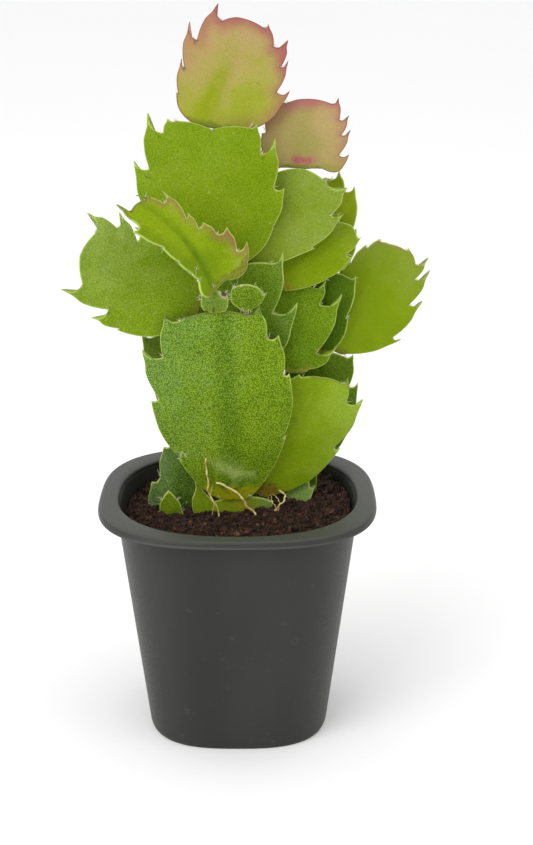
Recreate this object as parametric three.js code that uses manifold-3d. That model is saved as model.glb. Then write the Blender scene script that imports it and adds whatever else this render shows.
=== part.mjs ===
// A young Christmas cactus in a small rounded-square plastic pot.
//
// Units are millimetres and +Z is up. The origin is the centre of the pot's foot, on the
// surface that the pot stands on. -Y is the front, where the broad front segment faces.
//
// The plant is made of flat stem segments. Each one grows from the end of the one below it, so
// a segment is placed by the point where it starts and the point where it ends. Segments that
// are planted go down into plain holes in the soil.
import * as THREE from "three";
import { mergeVertices } from "three/addons/utils/BufferGeometryUtils.js";
import Module from "manifold-3d";

// ---- driving dimensions -----------------------------------------------------------------

const POT_HEIGHT = 57;
const RIM_HALF_WIDTH = 32.5;
const MOUTH_HALF_WIDTH = 28.2; // the edge of the opening, at the top of the rim
const WALL_TOP_HALF_WIDTH = 28.4; // outside of the wall, just under the rim
const FOOT_HALF_WIDTH = 21.5;
const WALL = 1.1;
const FLOOR_TOP = 1.6; // inside of the pot's floor
const RIM_THICKNESS = 1.8; // of the flat rim that stands out all round the top
const DRAIN_HOLE_RADIUS = 2.4;
const DRAIN_HOLE_OFFSET = 10; // of each drain hole from the middle, along X and along Y

const SOIL_HEIGHT = 51.6; // mean height of the soil's surface
const SOIL_RELIEF = 0.7;
const SOIL_GAP = 0.4; // between the soil and the pot's wall
const CLEARANCE = 0.3; // left between pieces that touch
const HOLE_TOP = 55; // the holes for planted segments are cut up to here

const SPINE_THICKNESS = 2.4; // of a full-grown segment along its middle
const BODY_THICKNESS = 1.3; // of the same where its teeth start
const TOOTH_THICKNESS = 0.8;
const BASE_HALF_WIDTH = 2.6; // where a segment joins the one below
const BODY_BULGE = 0.06; // how far the line through the notches bows out, as a share of its chord
const SHOULDER = 0.13; // the same from the base to the first notch, where a segment has no other
const MARGIN_BULGE = 0.03; // how far the margin of a tooth bows out beyond that

const POT_SIDES = 40; // points round each section of the pot and of the soil

const COLOURS = {
  old: 0x4c7a2c,
  green: 0x6f9f1c,
  light: 0x86a81a,
  pink: 0xa9a25a,
  pot: 0x3c3e3b,
  soil: 0x3a2620,
  root: 0xcdb878,
};

// ---- the segments -----------------------------------------------------------------------
//
// from, to: the middle of the base and the middle of the far end
// face: azimuth and elevation, in degrees, of the way that the broad side looks; azimuth 0 is
//   the front and 90 is +X
// right, left: the teeth of each margin from the base up, as [u, v, out, up]: u and v place the
//   notch that ends the tooth, across and along the segment, and the tooth's point lies out and
//   up from that notch
// bow, cup: how far the middle of the length, and the margins, stand towards the face
// sway: how far the middle of the length stands off to the right
// fold: the angles by which each half is turned towards the face, at its base and at its far end
// thick: thickness, as a share of a full-grown segment's
// wide, shoulder: half the width of the base, and the bulge from there to the first notch

const SEGMENTS = {
  mother: {
    from: [-0.6, 0.3, 36],
    to: [-0.6, 0.3, 55.2],
    face: [0, 0],
    wide: 4,
    colour: "old",
    right: [[6.6, 12, 0.4, 0.3], [7.6, 18.8, 1.4, -0.5]],
    left: [[9, 12, 1.5, 0.5], [5, 18.1, 4.4, 6.3]],
  },
  front: {
    from: [-1, -0.4, 55.9],
    to: [-3.2, -6, 102.4],
    face: [0, 0],
    wide: 4.5,
    shoulder: 0.03,
    bow: 2,
    cup: -1.2,
    colour: "green",
    right: [[12.4, 15.3, 0.7, 0.5], [13.1, 31, 1.4, 0.5], [9.8, 40, 2.6, 0.6], [5, 45.8, 3.3, 1.9]],
    left: [[11.6, 10.7, 0.6, 0.2], [15.7, 26.7, 1.8, -0.7], [14, 36.7, 4.7, 1.7], [9.6, 45, 3.4, 1.2]],
  },
  left: {
    from: [-9.3, -0.6, 101.6],
    to: [-35.2, -3, 114.4],
    face: [0, 20],
    wide: 3.6,
    shoulder: 0.11,
    bow: 0.5,
    cup: -1,
    colour: "green",
    right: [[8.2, 18.3, 3, 1.9], [9.2, 23.8, 3.5, 0.9], [6.1, 27.8, 3.5, 3.4]],
    left: [[11.3, 14.4, 0.5, 0.3], [8.4, 18.2, 3.2, 2.8], [5.6, 25.8, 2.9, 4]],
  },
  neck: {
    from: [-4.9, -6.6, 102.9],
    to: [-4.7, -7.4, 107.5],
    face: [0, 0],
    wide: 2.7,
    shoulder: 0.05,
    thick: 0.9,
    colour: "green",
    right: [[2.9, 2.4, 0.1, 0.1], [2.3, 4.1, 0.3, 0.1]],
    left: [[3, 2.4, 0.1, 0.1], [2.8, 3.9, 0.1, 0.1]],
  },
  left_pink: {
    from: [-5.4, -8.2, 107.9],
    to: [-20.6, -13, 128.6],
    face: [0, 18],
    sway: 2,
    fold: { right: [0, 0], left: [60, 46] },
    wide: 3.2,
    shoulder: 0.38,
    thick: 0.75,
    colour: "pink",
    right: [
      [8.9, 3.3, 3, 0.2],
      [6.8, 9.2, 2.7, -0.2],
      [4.2, 13.1, 1.7, 0.3],
      [3.6, 16.5, 1.2, 1],
      [2.8, 22.4, 2, 2.5],
      [0.9, 25.8, -0.2, 2.1],
    ],
    left: [
      [2.6, 4, 0.4, 0.3],
      [4.2, 7, 0.4, 0.3],
      [5.8, 11.2, 0.4, 0.3],
      [6.2, 16, 0.5, 0.4],
      [5.8, 23.4, 2.7, 0.3],
      [3.6, 26.4, 0.4, 3.2],
    ],
  },
  bud: {
    from: [2.1, -6.2, 103.2],
    to: [2.4, -7, 108.8],
    face: [4, 0],
    wide: 1.6,
    colour: "light",
    right: [[3.8, 3.4, 0.5, 0.2], [1.7, 5.3, 0.3, 0.1]],
    left: [[3.4, 2.6, 0.3, 0.2], [2.5, 5.1, 0.5, 0.2]],
  },
  right_front: {
    from: [5.8, 1.7, 55.9],
    to: [19.7, 2.2, 84.4],
    face: [12, 0],
    wide: 1.8,
    shoulder: 0.095,
    cup: -1,
    colour: "light",
    right: [[11.1, 16.6, 1.6, 0.4], [8.4, 28.2, 3.7, 2], [5, 32.2, 0.9, 1.8]],
    left: [[7, 8, 0.5, 0.3], [9.4, 19.6, 1.2, 0.6], [4.1, 30, 1, 0.3]],
  },
  middle: {
    from: [14, 3.2, 85.8],
    to: [13.4, 7.4, 105],
    face: [2, 0],
    colour: "green",
    right: [[4.5, 3.9, 4.8, 1.2], [5.6, 15.1, 5.3, 2.4], [4.3, 19, 3, 1.8]],
    left: [[5.6, 5, 0.8, 0.5], [6.4, 12.6, 1.4, 0.9], [4, 18.4, 1.2, 0.8]],
  },
  right_upper: {
    from: [10.3, 5.4, 105.8],
    to: [26.4, 8.2, 119],
    face: [-6, 4],
    wide: 2,
    shoulder: 0.02,
    colour: "green",
    right: [[5.6, 8.5, 0.4, 0.4], [4.2, 15.9, 1.4, 0.6], [2.8, 20.3, 0.7, 0.6]],
    left: [[5.4, 7.5, 0.8, 0.5], [6, 13.4, 1, 0.6], [2.5, 19.2, 1.3, 1.9]],
  },
  back_middle: {
    from: [0.6, 4.5, 85.3],
    to: [1.4, 1.2, 111.4],
    face: [-12, 0],
    colour: "green",
    right: [[7.3, 15.5, 5.6, 3], [6.3, 27.4, 2.9, 3]],
    left: [[9.6, 15, 1.2, 0.7], [5.4, 25, 1.4, 0.9]],
  },
  top_left: {
    from: [0.2, 0.8, 112],
    to: [-5.4, 2.9, 141.8],
    face: [-2, 0],
    bow: 1.5,
    cup: -1.2,
    shoulder: 0.07,
    colour: "light",
    right: [[9.4, 6.6, 0.4, 0.3], [11.3, 15.3, 2.3, -0.5], [9.7, 23.2, 3.8, 2.8], [8.4, 29.2, 1.6, 0.6]],
    left: [[17.2, 12.5, 0.5, 0.4], [15.5, 24.3, 3.1, 2.4], [10.9, 31.5, 2.7, 5], [7.5, 33.6, 1.9, 0.9]],
  },
  top_pink: {
    from: [-4.6, 4.9, 142.3],
    to: [0.4, 8.1, 165.8],
    face: [4, 0],
    bow: -1,
    cup: 1,
    wide: 6.2,
    shoulder: 0.12,
    thick: 0.75,
    colour: "pink",
    right: [[11.9, 10.1, 2.9, 0.9], [11.7, 15.6, 1.3, 1.9], [9.2, 19.7, 2.8, 2.1], [6.2, 23.2, 0.7, 1]],
    left: [[9.6, 5.3, 0.4, 0.2], [9.3, 11, 1, 2], [7.8, 17.5, 2.4, 3.7], [3.1, 22.8, 1.7, 3.5]],
  },
  top_right: {
    from: [3, 3.1, 111.5],
    to: [15.2, 5.4, 132.6],
    face: [-6, 0],
    shoulder: 0,
    colour: "green",
    right: [[10.5, 10.2, 1, 0.3], [10.6, 18.5, 2.3, 1.9], [5.5, 24.5, 5.2, 1.2]],
    left: [[6.7, 8.7, 0.8, 0.4], [7.8, 15, 1.3, 0.7], [4.7, 20.9, 1, 0.5]],
  },
  right_pink: {
    from: [15, 6.9, 133],
    to: [15.6, 10.2, 147.6],
    face: [0, 0],
    wide: 3.6,
    shoulder: 0.34,
    thick: 0.75,
    colour: "pink",
    right: [[8.1, 2.8, 2.3, 0.2], [8.4, 7.2, 2.1, 1.4], [7.8, 10.6, 2.2, 1.1], [6, 14.1, 1.4, 1.5]],
    left: [[9.3, 3.2, 0.5, -0.2], [8.6, 7.4, 0.9, -0.4], [7.8, 10.6, 0.9, -0.3], [3.9, 14, 0.7, 0]],
  },
  back_left: {
    from: [1, 6.8, 40],
    to: [-10.6, 7.8, 97],
    face: [0, 0],
    wide: 3,
    shoulder: -0.01,
    colour: "green",
    right: [[8.6, 30, 0.5, 0.4], [10, 44, 1.4, 0.8], [7, 56, 1.4, 1]],
    left: [[9, 31, 0.5, 0.4], [11.4, 43.7, 1.1, 0], [10, 55.6, 2.2, 2]],
  },
  back_right: {
    from: [12, 9.2, 40],
    to: [20, 10.2, 88.4],
    face: [4, 0],
    wide: 2.4,
    shoulder: 0.05,
    colour: "old",
    right: [[3.4, 20, 0.3, 0.2], [8.8, 30.4, 1.7, 2.4], [7.8, 41.3, 2, 1.3], [5.4, 48.6, 2, 0.8]],
    left: [[3.4, 20, 0.3, 0.2], [7.6, 31, 0.8, 0.5], [8, 41, 1.2, 0.7], [4.6, 48.2, 1.2, 0.7]],
  },
  right_inner: {
    from: [17.8, 9.6, 89.2],
    to: [21.6, 10.6, 107.6],
    face: [-10, 0],
    wide: 4,
    shoulder: 0.1,
    colour: "old",
    right: [[6, 9, 0.5, 0.3], [5.4, 18.2, 0.6, 1.2]],
    left: [[6.2, 9, 0.6, 0.4], [4.4, 17.2, 0.5, 0.3]],
  },
  right_outer: {
    from: [23.6, 12.4, 88.2],
    to: [35.9, 16.9, 112.8],
    face: [12, 0],
    cup: -0.8,
    shoulder: 0.05,
    colour: "light",
    right: [
      [11.4, 8.3, 2.3, 0.4],
      [11.5, 17, 2.7, 2.2],
      [9.7, 23, 2.5, 3.5],
      [8.2, 26.2, 2.2, 2.8],
      [4.2, 28.2, 0.5, 0.7],
    ],
    left: [
      [8, 8, 0.5, 0.3],
      [7.8, 14.3, 0.5, 0.4],
      [6.5, 19.9, 0.7, 0.5],
      [4.4, 24.8, 0.7, 0.5],
      [2.2, 27.4, 0.5, 0.5],
    ],
  },
  back_top: {
    from: [20.4, 11, 108.2],
    to: [20.6, 15.4, 128.8],
    face: [-8, 0],
    wide: 4.6,
    shoulder: 0.1,
    colour: "light",
    right: [[6.4, 9, 0.8, 0.5], [4.4, 17.9, 2.3, 1.2], [1.3, 20.6, 1.8, 2]],
    left: [[5.6, 9, 0.6, 0.4], [5.2, 15, 0.8, 0.5], [2.4, 20, 0.8, 0.6]],
  },
  low_left: {
    from: [-14.6, 3.6, 42],
    to: [-12.2, 4, 67.4],
    face: [-20, 0],
    colour: "old",
    right: [[4.2, 10, 0.2, 0.2], [4.4, 17, 0.2, 0.2], [3, 24.4, 0.6, 0.4]],
    left: [[7.6, 6, 0.2, 0.3], [5.9, 16.2, 2.1, -2], [3.6, 24.9, 2, -1.3]],
  },
  low_left_tip: {
    from: [-15.2, 0.6, 43],
    to: [-16.4, 0.2, 57],
    face: [0, 0],
    wide: 1.6,
    thick: 0.9,
    colour: "light",
    right: [[2.6, 8.4, 0.1, 0.1], [1.8, 11.6, 0.1, 0.1]],
    left: [[2.6, 8.8, 0.1, 0.1], [1.8, 11.8, 0.1, 0.1]],
  },
  low_right: {
    from: [9.6, 4.2, 42],
    to: [16.6, 5.6, 58.4],
    face: [-14, 0],
    wide: 2,
    thick: 0.9,
    colour: "old",
    right: [[1.8, 9, 0.3, 0.2], [1.6, 15.6, 0.9, 1.5]],
    left: [[2.6, 8.7, 0.3, 0.2], [1.8, 14.4, 0.5, 0.8]],
  },
};

const PLANTED = ["mother", "back_left", "back_right", "low_left", "low_left_tip", "low_right"];

// ---- small helpers ----------------------------------------------------------------------

const radians = THREE.MathUtils.degToRad;
const vec2 = (x, y) => new THREE.Vector2(x, y);
const vec3 = (a) => new THREE.Vector3(...a);

// The point at t on the quadratic curve from p to q that bows out, to the right of its chord, by
// a share of the chord's length.
function bowed(p, q, share, t) {
  const chord = q.clone().sub(p);
  const middle = p.clone().add(q).multiplyScalar(0.5);
  const control = middle.add(vec2(chord.y, -chord.x).multiplyScalar(2 * share));
  const a = p.clone().multiplyScalar((1 - t) ** 2);
  const b = control.multiplyScalar(2 * t * (1 - t));
  return a.add(b).add(q.clone().multiplyScalar(t ** 2));
}

// A closed BufferGeometry from a list of [x, y, z] points and a list of triangles.
function closedGeometry(points, triangles) {
  const geometry = new THREE.BufferGeometry();
  geometry.setAttribute("position", new THREE.Float32BufferAttribute(points.flat(), 3));
  geometry.setIndex(triangles.flat());
  return geometry;
}

// ---- one flat segment -------------------------------------------------------------------

// One margin, as points from the base to the far end: body is the line through the notches, and
// each tooth is the strip between three steps of that line and the margin outside it.
function margin(teeth, halfBase, shoulder, length) {
  const body = [vec2(halfBase, 0)];
  const strips = [];
  teeth.forEach(([u, v, out, up], i) => {
    const start = body.at(-1);
    const notch = vec2(u, v);
    const point = vec2(u + out, v + up);
    const bulge = i === 0 ? shoulder : BODY_BULGE;
    const first = body.length - 1;
    body.push(bowed(start, notch, bulge, 1 / 3), bowed(start, notch, bulge, 2 / 3), notch);
    const shoulders = [1 / 3, 2 / 3].map((t) => bowed(start, point, bulge + MARGIN_BULGE, t));
    strips.push({ first, shoulders, point });
  });
  const end = vec2(0, length);
  body.push(bowed(body.at(-1), end, BODY_BULGE, 0.5), end);
  return { body, strips };
}

// The triangles of one broad side, in (u, v), and the thickness at each point. The rows run from
// the spine out to the line through the notches, and the teeth are added outside it.
function flatSide({ right, left, wide = BASE_HALF_WIDTH, shoulder = SHOULDER }, length) {
  const sides = [right, left].map((teeth) => margin(teeth, wide, shoulder, length));
  const rows = sides[0].body.length;
  const points = [];
  const thickness = [];
  const triangles = [];
  const rim = [];
  const add = (u, v, share) => {
    points.push([u, v]);
    thickness.push(share);
    return points.length - 1;
  };
  const spine = Array.from({ length: rows }, (_, k) => {
    const v = (0.92 * (sides[0].body[k].y + sides[1].body[k].y)) / 2;
    return { v, index: add(0, v, SPINE_THICKNESS) };
  });
  const far = { inner: add(0, (spine[rows - 1].v + length) / 2, BODY_THICKNESS), outer: add(0, length, BODY_THICKNESS) };
  const face = (mirrored, a, b, c) => triangles.push(mirrored ? [a, c, b] : [a, b, c]);
  sides.forEach(({ body, strips }, s) => {
    const sign = s === 0 ? 1 : -1;
    const mirrored = s === 1;
    const middleThickness = (SPINE_THICKNESS + BODY_THICKNESS) / 2 + 0.2;
    const inner = body.map((p, k) => {
      if (k === rows - 1) return far.inner;
      return add(sign * p.x * 0.55, spine[k].v + (p.y - spine[k].v) * 0.55, middleThickness);
    });
    const outer = body.map((p, k) => (k === rows - 1 ? far.outer : add(sign * p.x, p.y, BODY_THICKNESS)));
    for (let k = 0; k < rows - 1; k++) {
      face(mirrored, spine[k].index, inner[k], inner[k + 1]);
      face(mirrored, spine[k].index, inner[k + 1], spine[k + 1].index);
      face(mirrored, inner[k], outer[k], outer[k + 1]);
      face(mirrored, inner[k], outer[k + 1], inner[k + 1]);
    }
    const edge = [spine[0].index, inner[0], outer[0]];
    strips.forEach(({ first, shoulders, point }) => {
      const [p0, p1, p2, p3] = outer.slice(first, first + 4);
      const [q1, q2] = shoulders.map((q) => add(sign * q.x, q.y, (BODY_THICKNESS + TOOTH_THICKNESS) / 2));
      const tip = add(sign * point.x, point.y, TOOTH_THICKNESS);
      face(mirrored, p0, q1, p1);
      face(mirrored, p1, q1, q2);
      face(mirrored, p1, q2, p2);
      face(mirrored, p2, q2, tip);
      face(mirrored, p2, tip, p3);
      edge.push(q1, q2, tip, p3);
    });
    edge.push(outer[rows - 2], far.outer);
    rim.push(edge);
  });
  const loop = [...rim[0], ...rim[1].slice(0, -1).reverse()].slice(0, -1);
  return { points, thickness, triangles, loop };
}

// Where a segment stands: its base, and the directions along it, across it and out of its face.
function frameOf({ from, to, face }) {
  const start = vec3(from);
  const along = vec3(to).sub(start);
  const length = along.length();
  along.normalize();
  const [azimuth, elevation] = face.map(radians);
  const normal = new THREE.Vector3(
    Math.sin(azimuth) * Math.cos(elevation),
    -Math.cos(azimuth) * Math.cos(elevation),
    Math.sin(elevation),
  );
  normal.addScaledVector(along, -normal.dot(along)).normalize();
  const across = along.clone().cross(normal);
  return { start, along, across, normal, length };
}

const UNFOLDED = { right: [0, 0], left: [0, 0] };

// A segment as a closed solid: both broad sides have the same triangles, half the thickness to
// each side of one curved middle surface.
function segmentGeometry(segment) {
  const { bow = 0, cup = 0, sway = 0, fold = UNFOLDED, thick = 1 } = segment;
  const { start, along, across, normal, length } = frameOf(segment);
  const { points, thickness, triangles, loop } = flatSide(segment, length);
  const halfWidth = Math.max(...points.map(([u]) => Math.abs(u)));
  const place = (side) =>
    points.map(([u, v], i) => {
      const t = v / length;
      const [near, far] = u > 0 ? fold.right : fold.left;
      const turn = u === 0 ? 0 : radians(near + (far - near) * t);
      const half = (side * thickness[i] * thick) / 2;
      const flat = Math.sign(u) * (Math.abs(u) * Math.cos(turn) - half * Math.sin(turn));
      const raised = Math.abs(u) * Math.sin(turn) + half * Math.cos(turn);
      const middle = 4 * t * (1 - t);
      const surface = bow * middle + cup * (u / halfWidth) ** 2;
      const point = start.clone().addScaledVector(along, v).addScaledVector(across, flat + sway * middle);
      return point.addScaledVector(normal, surface + raised).toArray();
    });
  const count = points.length;
  const faces = [...triangles];
  triangles.forEach(([a, b, c]) => faces.push([a + count, c + count, b + count]));
  loop.forEach((a, i) => {
    const b = loop[(i + 1) % loop.length];
    faces.push([a, a + count, b + count], [a, b + count, b]);
  });
  return closedGeometry([...place(1), ...place(-1)], faces);
}

// The hole that a planted segment stands in: a straight prism round the part in the soil.
function holeGeometry(segment) {
  const { thick = 1 } = segment;
  const { start, along, across, normal, length } = frameOf(segment);
  const top = (HOLE_TOP - start.z) / along.z;
  const { points, loop } = flatSide(segment, length);
  const planted = loop.flatMap((a, i) => {
    const [u, v] = points[a];
    const [nextU, nextV] = points[loop[(i + 1) % loop.length]];
    const crosses = (v - top) * (nextV - top) < 0;
    return [...(v < top ? [u] : []), ...(crosses ? [u + ((nextU - u) * (top - v)) / (nextV - v)] : [])];
  });
  const right = Math.max(...planted) + CLEARANCE;
  const left = Math.min(...planted) - CLEARANCE;
  const middle = (SPINE_THICKNESS * thick) / 2 + 1.4 * CLEARANCE;
  const edge = (BODY_THICKNESS * thick) / 2 + CLEARANCE;
  const outline = [
    vec2(left, -edge),
    vec2(0, -middle),
    vec2(right, -edge),
    vec2(right, edge),
    vec2(0, middle),
    vec2(left, edge),
  ];
  const prism = new THREE.ExtrudeGeometry(new THREE.Shape(outline), {
    depth: top + CLEARANCE,
    bevelEnabled: false,
  });
  const turned = new THREE.Matrix4().makeBasis(across, normal.clone().negate(), along);
  turned.setPosition(start.clone().addScaledVector(along, -CLEARANCE));
  return prism.applyMatrix4(turned);
}

// ---- the pot ----------------------------------------------------------------------------

// One section of the pot: a rounded square, as a superellipse with the given exponent.
function section(halfWidth, z, roundness) {
  return Array.from({ length: POT_SIDES }, (_, i) => {
    const angle = (2 * Math.PI * i) / POT_SIDES;
    const [c, s] = [Math.cos(angle), Math.sin(angle)];
    const x = halfWidth * Math.sign(c) * Math.abs(c) ** (2 / roundness);
    const y = halfWidth * Math.sign(s) * Math.abs(s) ** (2 / roundness);
    return [x, y, z];
  });
}

// A closed solid through a list of sections, with a point on the axis at each end.
function sectionedSolid(sections, firstZ, lastZ) {
  const points = [[0, 0, firstZ], ...sections.flat(), [0, 0, lastZ]];
  const last = points.length - 1;
  const at = (row, i) => 1 + row * POT_SIDES + (i % POT_SIDES);
  const triangles = [];
  for (let i = 0; i < POT_SIDES; i++) {
    triangles.push([0, at(0, i + 1), at(0, i)]);
    for (let row = 0; row < sections.length - 1; row++) {
      triangles.push([at(row, i), at(row, i + 1), at(row + 1, i + 1)]);
      triangles.push([at(row, i), at(row + 1, i + 1), at(row + 1, i)]);
    }
    triangles.push([last, at(sections.length - 1, i), at(sections.length - 1, i + 1)]);
  }
  return closedGeometry(points, triangles);
}

const WALL_TOP = POT_HEIGHT - RIM_THICKNESS;
const INSIDE_TOP = POT_HEIGHT - 1.8; // the inside is straight from here to the floor
const INSIDE_HALF_WIDTH = MOUTH_HALF_WIDTH - 0.7; // at that height
const ROUND_SQUARE = 2.8; // the exponent of the wall's outline
const ROUND_RIM = 2.85; // the rim has squarer corners
const ROUND_MOUTH = 2.3; // the opening is nearly round
const ROUND_INSIDE = 2.6;

// Half the width of the wall's outside at height z.
function wallHalfWidth(z) {
  return FOOT_HALF_WIDTH + ((WALL_TOP_HALF_WIDTH - FOOT_HALF_WIDTH) * z) / WALL_TOP;
}

function potGeometry() {
  const rows = [
    [FOOT_HALF_WIDTH - 0.8, 0, ROUND_SQUARE],
    [FOOT_HALF_WIDTH, 0.9, ROUND_SQUARE],
    [WALL_TOP_HALF_WIDTH, WALL_TOP, ROUND_SQUARE],
    [RIM_HALF_WIDTH - 0.4, WALL_TOP, ROUND_RIM],
    [RIM_HALF_WIDTH, WALL_TOP + 0.4, ROUND_RIM],
    [RIM_HALF_WIDTH - 0.2, POT_HEIGHT - 0.5, ROUND_RIM],
    [RIM_HALF_WIDTH - 0.7, POT_HEIGHT - 0.1, ROUND_RIM],
    [MOUTH_HALF_WIDTH + 1, POT_HEIGHT, ROUND_MOUTH + 0.2],
    [MOUTH_HALF_WIDTH, POT_HEIGHT - 0.3, ROUND_MOUTH],
    [INSIDE_HALF_WIDTH, INSIDE_TOP, ROUND_INSIDE],
    [wallHalfWidth(FLOOR_TOP) - WALL, FLOOR_TOP, ROUND_SQUARE - 0.1],
  ];
  return sectionedSolid(rows.map((row) => section(...row)), 0, FLOOR_TOP);
}

// The section of the pot's inside at height z, drawn in by a gap.
function insideSection(z, gap) {
  const top = section(INSIDE_HALF_WIDTH, 0, ROUND_INSIDE);
  const foot = section(wallHalfWidth(FLOOR_TOP) - WALL, 0, ROUND_SQUARE - 0.1);
  const share = (z - FLOOR_TOP) / (INSIDE_TOP - FLOOR_TOP);
  return foot.map(([x, y], i) => {
    const inner = [x + (top[i][0] - x) * share, y + (top[i][1] - y) * share];
    const scale = 1 - gap / Math.hypot(...inner);
    return [inner[0] * scale, inner[1] * scale, z];
  });
}

// ---- the soil ---------------------------------------------------------------------------

// Height of the soil's surface: higher at the back right, with lumps of two sizes.
function soilHeight(x, y) {
  const slope = 0.045 * (x + y);
  const lumps = Math.sin(0.9 * x + 1.3 * Math.sin(0.7 * y)) * Math.cos(0.8 * y - 0.4 * x);
  const crumbs = Math.sin(2.1 * x - 0.6) * Math.sin(2.3 * y + 0.9 * x);
  return SOIL_HEIGHT + slope + SOIL_RELIEF * (0.6 * lumps + 0.4 * crumbs);
}

function soilGeometry() {
  const edge = insideSection(SOIL_HEIGHT, SOIL_GAP);
  const rings = [1, 0.87, 0.74, 0.6, 0.45, 0.3, 0.15];
  const surface = rings.map((share) =>
    edge.map(([x, y]) => [x * share, y * share, soilHeight(x * share, y * share)]),
  );
  const foot = insideSection(FLOOR_TOP + CLEARANCE, SOIL_GAP);
  return sectionedSolid([foot, ...surface], FLOOR_TOP + CLEARANCE, soilHeight(0, 0));
}

// ---- the roots --------------------------------------------------------------------------
//
// Thin dry roots that hang in front of the joint between the planted segment and the two that
// grow from it. Each one is a list of points from its upper end down into the soil.

const ROOT_RADIUS = 0.32;
const ROOTS = {
  root_left: [[-7.3, -4.6, 66.8], [-7.4, -4.3, 65], [-6.9, -3.7, 61.2], [-6.8, -3.1, 57.5], [-4.9, -2.8, 54.1], [-4.2, -2.8, 50]],
  root_middle: [
    [-5.1, -3.4, 60.3],
    [-2.9, -3.6, 59.6],
    [0.8, -3.5, 56.9],
    [2, -3.4, 54.6],
    [4.2, -3.2, 52.3],
    [4.8, -3.2, 50],
  ],
  root_right: [[9.7, -1.9, 57.9], [11.1, -2, 56.7], [10.7, -2.2, 55.1], [8.7, -2.2, 52.8], [8.2, -2.1, 50]],
};

function rootGeometry(points, radius) {
  const outline = new THREE.Shape(
    Array.from({ length: 6 }, (_, i) => {
      const angle = (2 * Math.PI * i) / 6;
      return vec2(radius * Math.cos(angle), radius * Math.sin(angle));
    }),
  );
  const path = new THREE.CatmullRomCurve3(points.map(vec3));
  return new THREE.ExtrudeGeometry(outline, { steps: 12, extrudePath: path, bevelEnabled: false });
}

// ---- cutting ----------------------------------------------------------------------------

const wasm = await Module();
wasm.setup();

function toSolid(geometry) {
  const bare = new THREE.BufferGeometry();
  bare.setAttribute("position", geometry.getAttribute("position"));
  bare.setIndex(geometry.index);
  const merged = mergeVertices(bare, 1e-4);
  const mesh = new wasm.Mesh({
    numProp: 3,
    vertProperties: new Float32Array(merged.attributes.position.array),
    triVerts: new Uint32Array(merged.index.array),
  });
  return new wasm.Manifold(mesh);
}

function fromSolid(solid) {
  const mesh = solid.getMesh();
  const geometry = new THREE.BufferGeometry();
  geometry.setAttribute("position", new THREE.Float32BufferAttribute(mesh.vertProperties, 3));
  geometry.setIndex(new THREE.Uint32BufferAttribute(mesh.triVerts, 1));
  return geometry;
}

// The pot with its four drain holes through the floor.
function drainedPot() {
  let pot = toSolid(potGeometry());
  const drill = new THREE.CylinderGeometry(DRAIN_HOLE_RADIUS, DRAIN_HOLE_RADIUS, 6, 12).rotateX(Math.PI / 2);
  for (const [sx, sy] of [[1, 1], [-1, 1], [-1, -1], [1, -1]]) {
    const hole = drill.clone().translate(sx * DRAIN_HOLE_OFFSET, sy * DRAIN_HOLE_OFFSET, 2);
    pot = pot.subtract(toSolid(hole));
  }
  return fromSolid(pot);
}

// The soil with a plain hole for each planted segment and each root.
function plantedSoil() {
  let soil = toSolid(soilGeometry());
  for (const name of PLANTED) soil = soil.subtract(toSolid(holeGeometry(SEGMENTS[name])));
  for (const points of Object.values(ROOTS)) {
    const below = points.at(-1).map((value, axis) => (axis === 2 ? value - CLEARANCE : value));
    soil = soil.subtract(toSolid(rootGeometry([...points.slice(0, -1), below], ROOT_RADIUS + CLEARANCE)));
  }
  return fromSolid(soil);
}

// ---- the object -------------------------------------------------------------------------

const plant = new THREE.Group();

function addMesh(name, geometry, colour, roughness) {
  const material = new THREE.MeshStandardMaterial({ color: COLOURS[colour], roughness, metalness: 0 });
  geometry.computeVertexNormals();
  const mesh = new THREE.Mesh(geometry, material);
  mesh.name = name;
  plant.add(mesh);
}

addMesh("pot", drainedPot(), "pot", 0.5);
addMesh("soil", plantedSoil(), "soil", 1);
for (const [name, segment] of Object.entries(SEGMENTS)) {
  addMesh("segment_" + name, segmentGeometry(segment), segment.colour, 0.45);
}
for (const [name, points] of Object.entries(ROOTS)) {
  addMesh(name, rootGeometry(points, ROOT_RADIUS), "root", 0.8);
}

export default plant;
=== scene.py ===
import math

import bpy
import numpy as np
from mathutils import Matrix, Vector


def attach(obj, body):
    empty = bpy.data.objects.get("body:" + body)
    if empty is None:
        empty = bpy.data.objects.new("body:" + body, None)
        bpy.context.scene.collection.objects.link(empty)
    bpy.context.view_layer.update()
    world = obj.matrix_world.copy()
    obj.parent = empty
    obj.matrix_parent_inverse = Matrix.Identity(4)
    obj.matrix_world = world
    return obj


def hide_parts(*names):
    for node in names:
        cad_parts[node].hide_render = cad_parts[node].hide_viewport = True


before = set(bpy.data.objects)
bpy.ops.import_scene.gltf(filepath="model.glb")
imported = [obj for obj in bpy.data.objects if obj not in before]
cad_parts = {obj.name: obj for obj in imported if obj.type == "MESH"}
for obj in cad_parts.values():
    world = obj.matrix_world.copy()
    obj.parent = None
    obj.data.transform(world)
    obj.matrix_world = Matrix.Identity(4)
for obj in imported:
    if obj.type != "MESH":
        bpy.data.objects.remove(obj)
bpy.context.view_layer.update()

# A young potted Christmas cactus. Lengths are millimetres until a mesh is made, +Z is up and -Y is
# the front. Every blade, the soil, the pot and the roots stand where their CAD nodes stand.

MM = 0.001

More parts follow.
